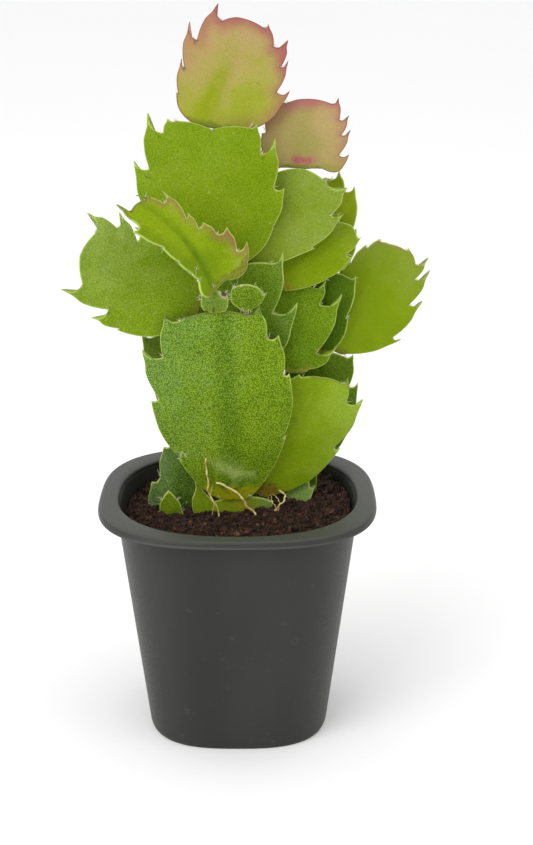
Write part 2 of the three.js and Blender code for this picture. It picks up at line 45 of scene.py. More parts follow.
# ---- the blades ---------------------------------------------------------------------------
#
# base, tip: the middle of the base and of the far end
# face: azimuth and elevation of the way that the broad side looks, in degrees
# right, left: the teeth of each margin from the base up, as (u, v, out, up): u and v place the
#   notch that ends the tooth, across and along the blade, and the point lies out and up from it
# wide, shoulder: half the width of the base, and the bulge from there to the first notch
# hollow: how deep the upper edge of a tooth curves in, as a share of its length
# bow, cup: how far the middle of the length, and the margins, stand towards the face
# sway, lean: how far the middle of the length, and the foot of the midrib, stand to the right
# fold: degrees by which the left half is turned towards the face, at its base and its far end
# thick: the thickness as a share of the usual one

BLADES = {
    "mother": dict(
        base=(-0.6, 0.3, 36), tip=(-0.6, 0.3, 55.2), wide=4, hollow=0.05,
        right=[(6.6, 12, 0.4, 0.3), (7.6, 18.8, 1.4, -0.5)],
        left=[(9, 12, 1.5, 0.5), (5, 18.1, 4.4, 6.3)],
    ),
    "front": dict(
        base=(-1, -0.4, 55.9), tip=(-3.2, -6, 102.4), wide=4.5, shoulder=0.03, bow=2, cup=-1.2,
        right=[(12.4, 15.3, 0.7, 0.5), (13.1, 31, 1.4, 0.5), (9.8, 40, 2.6, 0.6), (5, 45.8, 3.3, 1.9)],
        left=[(11.6, 10.7, 0.6, 0.2), (15.7, 26.7, 1.8, -0.7), (14, 36.7, 4.7, 1.7), (9.6, 45, 3.4, 1.2)],
    ),
    "left": dict(
        base=(-9.3, -0.6, 101.6), tip=(-35.2, -3, 114.4), face=(0, 20), wide=3.6, shoulder=0.11, bow=0.5,
        cup=-1,
        right=[(8.2, 18.3, 3, 1.9), (9.2, 23.8, 3.5, 0.9), (6.1, 27.8, 3.5, 3.4)],
        left=[(11.3, 14.4, 0.5, 0.3), (8.4, 18.2, 3.2, 2.8), (5.6, 25.8, 2.9, 4)],
    ),
    "neck": dict(
        base=(-4.9, -6.6, 102.9), tip=(-4.7, -7.4, 107.5), wide=2.7, shoulder=0.05, thick=0.9,
        right=[(2.9, 2.4, 0.1, 0.1), (2.3, 4.1, 0.3, 0.1)],
        left=[(3, 2.4, 0.1, 0.1), (2.8, 3.9, 0.1, 0.1)],
    ),
    "left_pink": dict(
        base=(-5.4, -8.2, 107.9), tip=(-20.6, -13, 128.6), face=(0, 18), fold=(60, 46), wide=3.2,
        shoulder=0.38, sway=2, thick=0.75,
        right=[
            (8.9, 3.3, 3, 0.2), (6.8, 9.2, 2.7, -0.2), (4.2, 13.1, 1.7, 0.3), (3.6, 16.5, 1.2, 1),
            (2.8, 22.4, 2, 2.5), (0.9, 25.8, -0.2, 2.1),
        ],
        left=[
            (2.6, 4, 0.4, 0.3), (4.2, 7, 0.4, 0.3), (5.8, 11.2, 0.4, 0.3), (6.2, 16, 0.5, 0.4),
            (5.8, 23.4, 2.7, 0.3), (3.6, 26.4, 0.4, 3.2),
        ],
    ),
    "bud": dict(
        base=(2.1, -6.2, 103.2), tip=(2.4, -7, 108.8), face=(4, 0), wide=1.6,
        right=[(3.8, 3.4, 0.5, 0.2), (1.7, 5.3, 0.3, 0.1)],
        left=[(3.4, 2.6, 0.3, 0.2), (2.5, 5.1, 0.5, 0.2)],
    ),
    "right_front": dict(
        base=(5.8, 1.7, 55.9), tip=(19.7, 2.2, 84.4), face=(12, 0), wide=1.8, shoulder=0.095, cup=-1,
        right=[(11.1, 16.6, 1.6, 0.4), (8.4, 28.2, 3.7, 2), (5, 32.2, 0.9, 1.8)],
        left=[(7, 8, 0.5, 0.3), (9.4, 19.6, 1.2, 0.6), (4.1, 30, 1, 0.3)],
    ),
    "middle": dict(
        base=(14, 3.2, 85.8), tip=(13.4, 7.4, 105), face=(2, 0),
        right=[(4.5, 3.9, 4.8, 1.2), (5.6, 15.1, 5.3, 2.4), (4.3, 19, 3, 1.8)],
        left=[(5.6, 5, 0.8, 0.5), (6.4, 12.6, 1.4, 0.9), (4, 18.4, 1.2, 0.8)],
    ),
    "right_upper": dict(
        base=(10.3, 5.4, 105.8), tip=(26.4, 8.2, 119), face=(-6, 4), wide=2, shoulder=0.02,
        right=[(5.6, 8.5, 0.4, 0.4), (4.2, 15.9, 1.4, 0.6), (2.8, 20.3, 0.7, 0.6)],
        left=[(5.4, 7.5, 0.8, 0.5), (6, 13.4, 1, 0.6), (2.5, 19.2, 1.3, 1.9)],
    ),
    "back_middle": dict(
        base=(0.6, 4.5, 85.3), tip=(1.4, 1.2, 111.4), face=(-12, 0),
        right=[(7.3, 15.5, 5.6, 3), (6.3, 27.4, 2.9, 3)],
        left=[(9.6, 15, 1.2, 0.7), (5.4, 25, 1.4, 0.9)],
    ),
    "top_left": dict(
        base=(0.2, 0.8, 112), tip=(-5.4, 2.9, 141.8), face=(-2, 0), bow=1.5, cup=-1.2, shoulder=0.07,
        right=[(9.4, 6.6, 0.4, 0.3), (11.3, 15.3, 2.3, -0.5), (9.7, 23.2, 3.8, 2.8), (8.4, 29.2, 1.6, 0.6)],
        left=[(17.2, 12.5, 0.5, 0.4), (15.5, 24.3, 3.1, 2.4), (10.9, 31.5, 2.7, 5), (7.5, 33.6, 1.9, 0.9)],
    ),
    "top_pink": dict(
        base=(-4.6, 4.9, 142.3), tip=(0.4, 8.1, 165.8), face=(4, 0), bow=-1, cup=1, wide=6.2, shoulder=0.12,
        lean=-4.2, thick=0.75,
        right=[(11.9, 10.1, 2.9, 0.9), (11.7, 15.6, 1.3, 1.9), (9.2, 19.7, 2.8, 2.1), (6.2, 23.2, 0.7, 1)],
        left=[(9.6, 5.3, 0.4, 0.2), (9.3, 11, 1, 2), (7.8, 17.5, 2.4, 3.7), (3.1, 22.8, 1.7, 3.5)],
    ),
    "top_right": dict(
        base=(3, 3.1, 111.5), tip=(15.2, 5.4, 132.6), face=(-6, 0), shoulder=0,
        right=[(10.5, 10.2, 1, 0.3), (10.6, 18.5, 2.3, 1.9), (5.5, 24.5, 5.2, 1.2)],
        left=[(6.7, 8.7, 0.8, 0.4), (7.8, 15, 1.3, 0.7), (4.7, 20.9, 1, 0.5)],
    ),
    "right_pink": dict(
        base=(15, 6.9, 133), tip=(15.6, 10.2, 147.6), wide=3.6, shoulder=0.34, thick=0.75,
        right=[(8.1, 2.8, 2.3, 0.2), (8.4, 7.2, 2.1, 1.4), (7.8, 10.6, 2.2, 1.1), (6, 14.1, 1.4, 1.5)],
        left=[(9.3, 3.2, 0.5, -0.2), (8.6, 7.4, 0.9, -0.4), (7.8, 10.6, 0.9, -0.3), (3.9, 14, 0.7, 0)],
    ),
    "back_left": dict(
        base=(1, 6.8, 40), tip=(-10.6, 7.8, 97), wide=3, shoulder=-0.01,
        right=[(8.6, 30, 0.5, 0.4), (10, 44, 1.4, 0.8), (7, 56, 1.4, 1)],
        left=[(9, 31, 0.5, 0.4), (11.4, 43.7, 1.1, 0), (10, 55.6, 2.2, 2)],
    ),
    "back_right": dict(
        base=(12, 9.2, 40), tip=(20, 10.2, 88.4), face=(4, 0), wide=2.4, shoulder=0.05,
        right=[(3.4, 20, 0.3, 0.2), (8.8, 30.4, 1.7, 2.4), (7.8, 41.3, 2, 1.3), (5.4, 48.6, 2, 0.8)],
        left=[(3.4, 20, 0.3, 0.2), (7.6, 31, 0.8, 0.5), (8, 41, 1.2, 0.7), (4.6, 48.2, 1.2, 0.7)],
    ),
    "right_inner": dict(
        base=(17.8, 9.6, 89.2), tip=(21.6, 10.6, 107.6), face=(-10, 0), wide=4, shoulder=0.1,
        right=[(6, 9, 0.5, 0.3), (5.4, 18.2, 0.6, 1.2)],
        left=[(6.2, 9, 0.6, 0.4), (4.4, 17.2, 0.5, 0.3)],
    ),
    "right_outer": dict(
        base=(23.6, 12.4, 88.2), tip=(35.9, 16.9, 112.8), face=(12, 0), cup=-0.8, shoulder=0.05,
        right=[
            (11.4, 8.3, 2.3, 0.4), (11.5, 17, 2.7, 2.2), (9.7, 23, 2.5, 3.5), (8.2, 26.2, 2.2, 2.8),
            (4.2, 28.2, 0.5, 0.7),
        ],
        left=[
            (8, 8, 0.5, 0.3), (7.8, 14.3, 0.5, 0.4), (6.5, 19.9, 0.7, 0.5), (4.4, 24.8, 0.7, 0.5),
            (2.2, 27.4, 0.5, 0.5),
        ],
    ),
    "back_top": dict(
        base=(20.4, 11, 108.2), tip=(20.6, 15.4, 128.8), face=(-8, 0), wide=4.6, shoulder=0.1,
        right=[(6.4, 9, 0.8, 0.5), (4.4, 17.9, 2.3, 1.2), (1.3, 20.6, 1.8, 2)],
        left=[(5.6, 9, 0.6, 0.4), (5.2, 15, 0.8, 0.5), (2.4, 20, 0.8, 0.6)],
    ),
    "low_left": dict(
        base=(-14.6, 3.6, 42), tip=(-12.2, 4, 67.4), face=(-20, 0),
        right=[(4.2, 10, 0.2, 0.2), (4.4, 17, 0.2, 0.2), (3, 24.4, 0.6, 0.4)],
        left=[(7.6, 6, 0.2, 0.3), (5.9, 16.2, 2.1, -2), (3.6, 24.9, 2, -1.3)],
    ),
    "low_left_tip": dict(
        base=(-15.2, 0.6, 43), tip=(-16.4, 0.2, 57), wide=1.6, thick=0.9,
        right=[(2.6, 8.4, 0.1, 0.1), (1.8, 11.6, 0.1, 0.1)],
        left=[(2.6, 8.8, 0.1, 0.1), (1.8, 11.8, 0.1, 0.1)],
    ),
    "low_right": dict(
        base=(9.6, 4.2, 42), tip=(16.6, 5.6, 58.4), face=(-14, 0), wide=2, thick=0.9,
        right=[(1.8, 9, 0.3, 0.2), (1.6, 15.6, 0.9, 1.5)],
        left=[(2.6, 8.7, 0.3, 0.2), (1.8, 14.4, 0.5, 0.8)],
    ),
}

BODY_BULGE = 0.06  # how far the line through the notches bows out, as a share of its chord
MARGIN_BULGE = 0.03  # how far the margin of a tooth bows out beyond that
SHOULDER = 0.13
BASE_HALF_WIDTH = 2.6
HOLLOW = 0.24
HORN = 0.09  # how far the margin draws in just below a tooth's point, as a share of the tooth
TIP_SHARE = 0.8  # where along its tooth a point stands over the line through the notches
BASE_ROUND = 0.7  # the rounded end that sits in the joint with the blade below
EDGE_HALF_THICKNESS = 0.4
FLESH_HALF_THICKNESS = 0.34  # added away from the margin
RIB_HALF_THICKNESS = 0.42  # added along the midrib
RIB_SHARE, RIB_EXTRA = 0.14, 0.8  # its width, as a share of the blade's half width, plus millimetres
GROOVE_DEPTH, GROOVE_WIDTH = 0.13, 0.55  # of the groove along it
EDGE_ROUND = 0.46  # how far in from the margin the edge is rounded
CREASE = 1.1  # r, which rounds the crease of a folded blade at its midrib
ROW_STEP = 0.45  # between rows of points along a blade
BACK_STEP = 0.3  # and where the margin goes back from a point to its notch
COLUMNS, EDGE_COLUMNS = 19, 6  # points across half a blade, and over its rounded edge
NOTCH_WAY = (0.75, 0.65)  # the way out of a notch, across and along the blade


def bowed(p, q, share, t):
    """Points on the quadratic curve from p to q whose control point stands off the middle of the
    chord, to its right, by twice share of the chord's length."""
    p, q, t = np.asarray(p, float), np.asarray(q, float), np.asarray(t, float)[:, None]
    chord = q - p
    control = (p + q) / 2 + 2 * share * np.array([chord[1], -chord[0]])
    return (1 - t) ** 2 * p + 2 * t * (1 - t) * control + t**2 * q


def smooth(x, low, high):
    """0 below low, 1 above high, and 3s^2 - 2s^3 between them."""
    s = np.clip((x - low) / (high - low), 0, 1)
    return s * s * (3 - 2 * s)


def unit(v):
    """v divided by its length along the last axis."""
    return v / np.maximum(np.linalg.norm(v, axis=-1, keepdims=True), 1e-12)


def row_counts(blade):
    """How many rows each tooth of the two margins takes: one for each step of the longer one up
    to its point, and one for each back step to its notch. The last number is for the end."""
    counts, starts = [], [np.array([blade.wide, 0.0])] * 2
    for teeth in zip(blade.right, blade.left):
        ways = []
        for start, (u, v, out, up) in zip(starts, teeth):
            point = np.array([u + out, v + up])
            ways.append((np.linalg.norm(point - start), math.hypot(out, up)))
        rise, back = np.max(ways, axis=0)
        counts.append((max(6, math.ceil(rise / ROW_STEP)), max(4, math.ceil(back / BACK_STEP))))
        starts = [np.array(t[:2], float) for t in teeth]
    end = max(math.hypot(s[0], blade.length - s[1]) for s in starts)
    return counts, max(6, math.ceil(end / ROW_STEP))


def half_outline(blade, teeth, counts, end_count):
    """One half of a blade as rows of two points: on the line through the notches, and on the
    margin. A tooth's margin bows out from notch to point, drawn in by a sine hump below the point,
    and returns to the next notch on a hollow quadratic. Base and far end close on the midrib."""
    turn = np.linspace(0, math.pi / 2, 7)
    cap = np.stack([blade.wide * np.sin(turn), -BASE_ROUND * np.cos(turn)], 1)
    body, edge = [cap], [cap]
    start = cap[-1]
    for i, ((u, v, out, up), (rise, back)) in enumerate(zip(teeth, counts)):
        notch, point = np.array([u, v], float), np.array([u + out, v + up], float)
        bulge = blade.shoulder if i == 0 else BODY_BULGE
        t_out = np.linspace(0, 1, rise + 1)[1:]
        t_back = np.linspace(0, 1, back + 1)[1:]
        body.append(bowed(start, notch, bulge, TIP_SHARE * t_out))
        body.append(bowed(start, notch, bulge, TIP_SHARE + (1 - TIP_SHARE) * t_back))
        chord = unit(point - start)
        inward = np.array([-chord[1], chord[0]])
        hump = np.sin(math.pi * np.clip((t_out - 0.5) / 0.5, 0, 1)) ** 2
        draw = HORN * math.hypot(out, up) * hump[:, None] * inward
        edge.append(bowed(start, point, bulge + MARGIN_BULGE, t_out) + draw)
        edge.append(bowed(point, notch, -blade.hollow, t_back))
        start = notch
    end = bowed(start, (0, blade.length), BODY_BULGE, np.linspace(0, 1, end_count + 1)[1:])
    return np.concatenate(body + [end]), np.concatenate(edge + [end])


def blade_plan(blade):
    """The flat plan of a blade as a grid of (u, v): rows from base to far end, and columns from
    the left margin through the midrib to the right one. A row leaves the midrib at 0.92 of the
    height at which it meets the margins, and at all of it at the far end. Along a half row the
    points run evenly to the rounded edge, and over that by the sine."""
    counts, end_count = row_counts(blade)
    halves = [half_outline(blade, teeth, counts, end_count) for teeth in (blade.right, blade.left)]
    mean_v = (halves[0][0][:, 1] + halves[1][0][:, 1]) / 2
    run = np.clip((np.arange(len(mean_v)) - (len(mean_v) - 1 - end_count)) / end_count, 0, 1)
    share = np.where(mean_v > 0, 0.92 + 0.08 * run**2, 1)
    spine = np.stack([np.zeros_like(mean_v), share * mean_v], 1)[:, None, :]
    inner = np.linspace(0, 1, COLUMNS)[None, :]
    outer = np.sin(np.linspace(0, math.pi / 2, EDGE_COLUMNS)[1:])[None, :]
    grids = []
    for body, edge in halves:
        body, edge = body[:, None, :], edge[:, None, :]
        near = np.linalg.norm(body - spine, axis=2)
        far = np.linalg.norm(edge - body, axis=2)
        whole = near + far
        lip = np.minimum(EDGE_ROUND, whole / 2)
        way = np.concatenate([inner * (whole - lip), whole - lip * (1 - outer)], 1)
        first = np.clip(way / np.maximum(near, 1e-9), 0, 1)[..., None]
        second = np.clip((way - near) / np.maximum(far, 1e-9), 0, 1)[..., None]
        grids.append(spine + (body - spine) * first + (edge - body) * second)
    left_grid = grids[1][:, :0:-1] * np.array([-1, 1])
    outline = np.concatenate([halves[0][1], halves[1][1] * np.array([-1, 1])])
    return np.concatenate([left_grid, grids[0]], 1), outline


class Blade:
    """Where a blade stands and how its middle surface curves."""

    def __init__(self, index, base, tip, right, left, face=(0, 0), wide=BASE_HALF_WIDTH,
                 shoulder=SHOULDER, hollow=HOLLOW, bow=0, cup=0, sway=0, lean=0, fold=(0, 0), thick=1):
        self.start = np.array(base, float)
        way = np.array(tip, float) - self.start
        self.length = float(np.linalg.norm(way))
        self.along = way / self.length
        azimuth, elevation = np.radians(face)
        level = math.cos(elevation)
        looks = np.array([math.sin(azimuth) * level, -math.cos(azimuth) * level, math.sin(elevation)])
        self.normal = unit(looks - looks.dot(self.along) * self.along)
        self.across = np.cross(self.along, self.normal)
        self.right, self.left, self.wide, self.shoulder = right, left, wide, shoulder
        self.hollow, self.bow, self.cup, self.sway = hollow, bow, cup, sway
        self.lean, self.fold, self.thick = lean, fold, thick
        self.half_width = max(t[0] + t[2] for t in right + left)
        self.phase = 1.7 * index

    def middle_surface(self, u, v):
        """The point of the middle surface at (u, v). It stands off the flat by the bow, 4t(1-t),
        the cup, the square of u, and two slow waves, and to the right by the sway, 4t(1-t); the
        folded half turns by an angle that goes evenly from base to far end, with a crease rounded
        as the root of u^2 + r^2, less r."""
        t = v / self.length
        side = u / self.half_width
        waves = 0.2 * side * np.sin(0.42 * v + self.phase)
        waves = waves + 0.12 * np.sin(0.31 * v + 0.5 * u + 2 * self.phase) * side**2
        lift = self.bow * 4 * t * (1 - t) + self.cup * side**2 + waves * min(1, self.half_width / 12)
        turn = np.radians(np.where(u < 0, self.fold[0] + (self.fold[1] - self.fold[0]) * t, 0))
        reach = np.sqrt(u**2 + CREASE**2) - CREASE if any(self.fold) else np.abs(u)
        slip = np.abs(u) * np.cos(turn) + (np.abs(u) - reach) * (1 - np.cos(turn))
        flat = np.sign(u) * slip + self.sway * 4 * t * (1 - t)
        raised = lift + reach * np.sin(turn)
        place = self.start + v[..., None] * self.along + flat[..., None] * self.across
        return place + raised[..., None] * self.normal

    def from_rib(self, u, v):
        """How far across a place is from the midrib, which leans by (1-t)^2 towards the base."""
        return u - self.lean * (1 - v / self.length) ** 2

    def half_thickness(self, u, v, edge):
        """A rounded edge, the root of 1 - (1-s)^2 over its width, times a sum of the margin's, the
        flesh's and the midrib's half thickness; a narrow groove runs along the midrib."""
        u = self.from_rib(u, v)
        s = np.clip(edge / EDGE_ROUND, 0, 1)
        rib_width = RIB_SHARE * self.half_width + RIB_EXTRA
        rib = RIB_HALF_THICKNESS * np.exp(-((u / rib_width) ** 2))
        rib = rib * (1 - 0.5 * smooth(v / self.length, 0.5, 1))
        groove = GROOVE_DEPTH * np.exp(-((u / GROOVE_WIDTH) ** 2)) * smooth(edge, 1, 4)
        flesh = FLESH_HALF_THICKNESS * smooth(edge, 0, 5)
        return self.thick * (EDGE_HALF_THICKNESS + flesh + rib - groove) * np.sqrt(1 - (1 - s) ** 2)

    def notches(self):
        """The notches of both margins as (u, v), and the way out of each, in the plan."""
        signs = [(1, t) for t in self.right] + [(-1, t) for t in self.left]
        spots = np.array([[s * t[0], t[1]] for s, t in signs])
        ways = np.array([[s * NOTCH_WAY[0], NOTCH_WAY[1]] for s, t in signs])
        return spots, ways


def grid_triangles(rows, columns, first=0, flip=False):
    """Two triangles for each square of a grid of points numbered row by row."""
    r, c = np.meshgrid(np.arange(rows - 1), np.arange(columns - 1), indexing="ij")
    a = (first + r * columns + c).ravel()
    b, d = a + 1, a + columns
    e = d + 1
    triangles = np.concatenate([np.stack([a, b, e], 1), np.stack([a, e, d], 1)])
    return triangles[:, ::-1] if flip else triangles


def welded(points, triangles):
    """Points that lie together become one, and triangles that close up are dropped. Returns which
    points are kept, and the triangles between them."""
    key = np.round(points * 1e4).astype(np.int64)
    _, first, place = np.unique(key, axis=0, return_index=True, return_inverse=True)
    triangles = place.reshape(-1)[triangles]
    a, b, c = triangles.T
    return first, triangles[(a != b) & (b != c) & (a != c)]


def link_object(name, data):
    """A new object of that data, in the scene."""
    thing = bpy.data.objects.new(name, data)
    bpy.context.scene.collection.objects.link(thing)
    return thing


def full_turn(sides):
    """Angles once round, the last of which is the first again."""
    angle = np.linspace(0, 2 * math.pi, sides + 1)
    angle[-1] = 0
    return angle


def round_surface(reach, angle, height):
    """A grid of points at those heights, whose x and y are the distance from the axis times the
    cosine and the sine of the angle."""
    x, y = reach * np.cos(angle), reach * np.sin(angle)
    return np.stack([x, y, np.broadcast_to(height, x.shape)], 2)


def make_mesh(name, points, triangles):
    """A mesh from points in millimetres, and which of them it keeps."""
    kept, triangles = welded(points, triangles)
    mesh = bpy.data.meshes.new(name)
    mesh.from_pydata((points[kept] * MM).tolist(), [], triangles.tolist())
    return mesh, kept


def make_piece(name, points, triangles, material, slot, stands_for=(), **masks):
    """A piece from points in millimetres, with its place in its mesh and a float attribute for
    each mask."""
    mesh, kept = make_mesh(name, points, triangles)
    for key, values in masks.items():
        attribute = mesh.attributes.new(key, "FLOAT", "POINT")
        attribute.data.foreach_set("value", np.ravel(values)[kept].astype(np.float32))
    mesh.shade_smooth()
    mesh.materials.append(material)
    piece = link_object(name, mesh)
    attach(piece, "root")
    if stands_for:
        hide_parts(*stands_for)
    return piece


def grid_piece(name, surface, material, slot, stands_for=()):
    """A piece from a surface that is a grid of points."""
    triangles = grid_triangles(*surface.shape[:2])
    return make_piece(name, surface.reshape(-1, 3), triangles, material, slot, stands_for)


def nearest(plan, spots):
    """How far each place of the plan is from the nearest of the spots: the least root of the
    summed squares of their differences."""
    return np.sqrt(((plan[:, :, None, :] - spots[None, None]) ** 2).sum(3)).min(2)


def make_blade(name, blade, material, slot):
    """Both broad sides of a blade: the middle surface plus and minus its half thickness along its
    own normal, which is the cross product of its slopes."""
    plan, outline = blade_plan(blade)
    u, v = plan[..., 0], plan[..., 1]
    edge = nearest(plan, outline)
    middle = blade.middle_surface(u, v)
    h = 0.05  # half the step over which a slope is taken
    slope_u = blade.middle_surface(u + h, v) - blade.middle_surface(u - h, v)
    slope_v = blade.middle_surface(u, v + h) - blade.middle_surface(u, v - h)
    offset = unit(np.cross(slope_u, slope_v)) * blade.half_thickness(u, v, edge)[..., None]
    points = np.concatenate([(middle + offset).reshape(-1, 3), (middle - offset).reshape(-1, 3)])
    rows, columns = u.shape
    back = grid_triangles(rows, columns, rows * columns, flip=True)
    masks = dict(
        edge_mm=edge, across_mm=blade.from_rib(u, v), along_mm=v, side=u / blade.half_width,
        rise=v / blade.length, notch_mm=nearest(plan, blade.notches()[0]),
    )
    make_piece(
        "blade_" + name, points, np.concatenate([grid_triangles(rows, columns), back]), material, slot,
        ["segment_" + name], **{key: np.tile(values.ravel(), 2) for key, values in masks.items()},
    )


# ---- material helpers ---------------------------------------------------------------------


def srgb(r, g, b):
    """A colour given as 0 to 255 in sRGB, in linear light: c over 12.92 where it is dark, and else
    the 2.4th power of c + 0.055 over 1.055."""
    c = np.array([r, g, b]) / 255
    linear = np.where(c <= 0.04045, c / 12.92, ((c + 0.055) / 1.055) ** 2.4)
    return (*linear.tolist(), 1.0)


def spaced(key):
    """The key with spaces, as the inputs of a node are named."""
    return key.replace("_", " ")


def put(socket, value):
    """Links an output to that input, or sets the input to a constant."""
    if isinstance(value, bpy.types.NodeSocket):
        socket.id_data.links.new(value, socket)
    else:
        socket.default_value = value


def wire(tree, kind, *values, props=None, **named):
    """A new node. Each value goes to the input in its place, or of its name."""
    node = tree.nodes.new("ShaderNode" + kind)
    for key, value in (props or {}).items():
        setattr(node, key, value)
    for socket, value in zip(node.inputs, values):
        put(socket, value)
    for key, value in named.items():
        put(node.inputs[spaced(key)], value)
    return node


def tree_of(*values):
    """The node tree of the first output among the values."""
    return next(v.id_data for v in values if isinstance(v, bpy.types.NodeSocket))


def calc(operation, *values, clamp=False):
    """The result of a math operation on outputs and constants."""
    props = {"operation": operation, "use_clamp": clamp}
    return wire(tree_of(*values), "Math", *values, props=props).outputs[0]


def times(a, b, clamp=False):
    return calc("MULTIPLY", a, b, clamp=clamp)


def ramp(value, low, high, bottom=0.0, top=1.0):
    """value taken from low..high to bottom..top, smoothly and held at both ends."""
    node = wire(value.id_data, "MapRange", props={"interpolation_type": "SMOOTHSTEP"}, Value=value,
                From_Min=low, From_Max=high, To_Min=bottom, To_Max=top)
    return node.outputs["Result"]


def tint(share, a, b, mode="MIX"):
    """Colour a turned towards colour b by share."""
    node = wire(tree_of(share, a, b), "Mix", props={"data_type": "RGBA", "blend_type": mode})
    for place, value in ((0, share), (6, a), (7, b)):
        put(node.inputs[place], value)
    return node.outputs[2]


def mask(tree, name):
    """The float attribute of that name on the piece."""
    return wire(tree, "Attribute", props={"attribute_name": name}).outputs["Fac"]


def here(tree):
    """The place in metres, by Object coordinates."""
    return tree.nodes.new("ShaderNodeTexCoord").outputs["Object"]


def noise(place, scale, detail=2.0, roughness=0.5, distortion=0.0):
    node = wire(place.id_data, "TexNoise", Vector=place, Scale=scale, Detail=detail, Roughness=roughness,
                Distortion=distortion)
    return node.outputs["Fac"]


def cells_of(place, scale, output):
    """Random cells of that scale: the distance to the middle of each, or its own colour."""
    node = wire(place.id_data, "TexVoronoi", props={"feature": "F1"}, Vector=place, Scale=scale)
    return node.outputs[output]


def new_group(name, inputs, outputs):
    """An empty shader group with an input for each key, a colour one where the value is a tuple.
    Returns it with its two inner ends."""
    tree = bpy.data.node_groups.new(name, "ShaderNodeTree")
    for key, value in inputs.items():
        kind = "NodeSocketColor" if isinstance(value, tuple) else "NodeSocketFloat"
        tree.interface.new_socket(spaced(key).title(), in_out="INPUT", socket_type=kind)
    for key, kind in outputs.items():
        tree.interface.new_socket(key, in_out="OUTPUT", socket_type="NodeSocket" + kind)
    return tree, tree.nodes.new("NodeGroupInput").outputs, tree.nodes.new("NodeGroupOutput").inputs


def place_group(tree, group, values):
    """The group as a node whose inputs hold the values, tuples as colours."""
    node = tree.nodes.new("ShaderNodeGroup")
    node.node_tree = group
    for key, value in values.items():
        put(node.inputs[spaced(key).title()], srgb(*value) if isinstance(value, tuple) else value)
    return node.outputs


def new_material(name, **surface):
    """A material with a Principled surface whose sockets hold those constants."""
    material = bpy.data.materials.new(name)
    material.use_nodes = True
    shader = material.node_tree.nodes["Principled BSDF"]
    for key, value in surface.items():
        shader.inputs[spaced(key)].default_value = value
    return material, material.node_tree, shader


def feed(shader, colour, roughness, height, strength, depth):
    """Joins colour, roughness and a bump of that depth in metres to a surface."""
    put(shader.inputs["Base Color"], colour)
    put(shader.inputs["Roughness"], roughness)
    bump = wire(shader.id_data, "Bump", Strength=strength, Distance=depth, Height=height)
    put(shader.inputs["Normal"], bump.outputs["Normal"])


# ---- the blade's skin ---------------------------------------------------------------------


# Features per metre of the skin's patterns, from its wide clouds to its finest grains.
CLOUD_SCALE, PATCH_SCALE, FLECK_SCALE, CELL_SCALE, GRAIN_SCALE = 110, 420, 1500, 3100, 3400
SHADE = 0.8  # the skin's own colour over the colour that it shows in this light
# GREEN_EDGE and PINK_EDGE tint the pale grains and the pale line along the margin, which is painted light
# shining through the thin edge.
GREEN_EDGE = (190, 210, 106)
PINK_EDGE = (150, 84, 84)
FLECK_COLOUR, MARK_COLOUR = srgb(196, 212, 130), srgb(58, 44, 20)

# What a skin is made of: colours from 0 to 255, lengths in millimetres, and shares. The haze,
# partly waxy bloom and partly painted sheen, is start, plus side times the place across the blade,
# from -1 to 1, and rise times the place along it, from 0 to 1. The flush of colour inside the margin
# grows with side and rise in the same way.
PLAIN_SKIN = dict(
    main=(0, 0, 0), deep=(0, 0, 0), haze=(0, 0, 0), edge=GREEN_EDGE, flush=(166, 104, 92),
    foot=(128, 138, 40), scar=(150, 172, 92), start=0, side=0, rise=0,
    speckle=0.3, rib=0.3, rib_width=3.4, rib_fade=0, flush_reach=0.01, flush_rise=0, flush_side=0,
    foot_reach=0.03, cracks=0.3, marks=0.15, dry=0, flecks=0.5,
    scar_across=0, scar_along=8, scar_size=0.01, scar_lean=0, scar_flat=1, scar_dark=0,
)

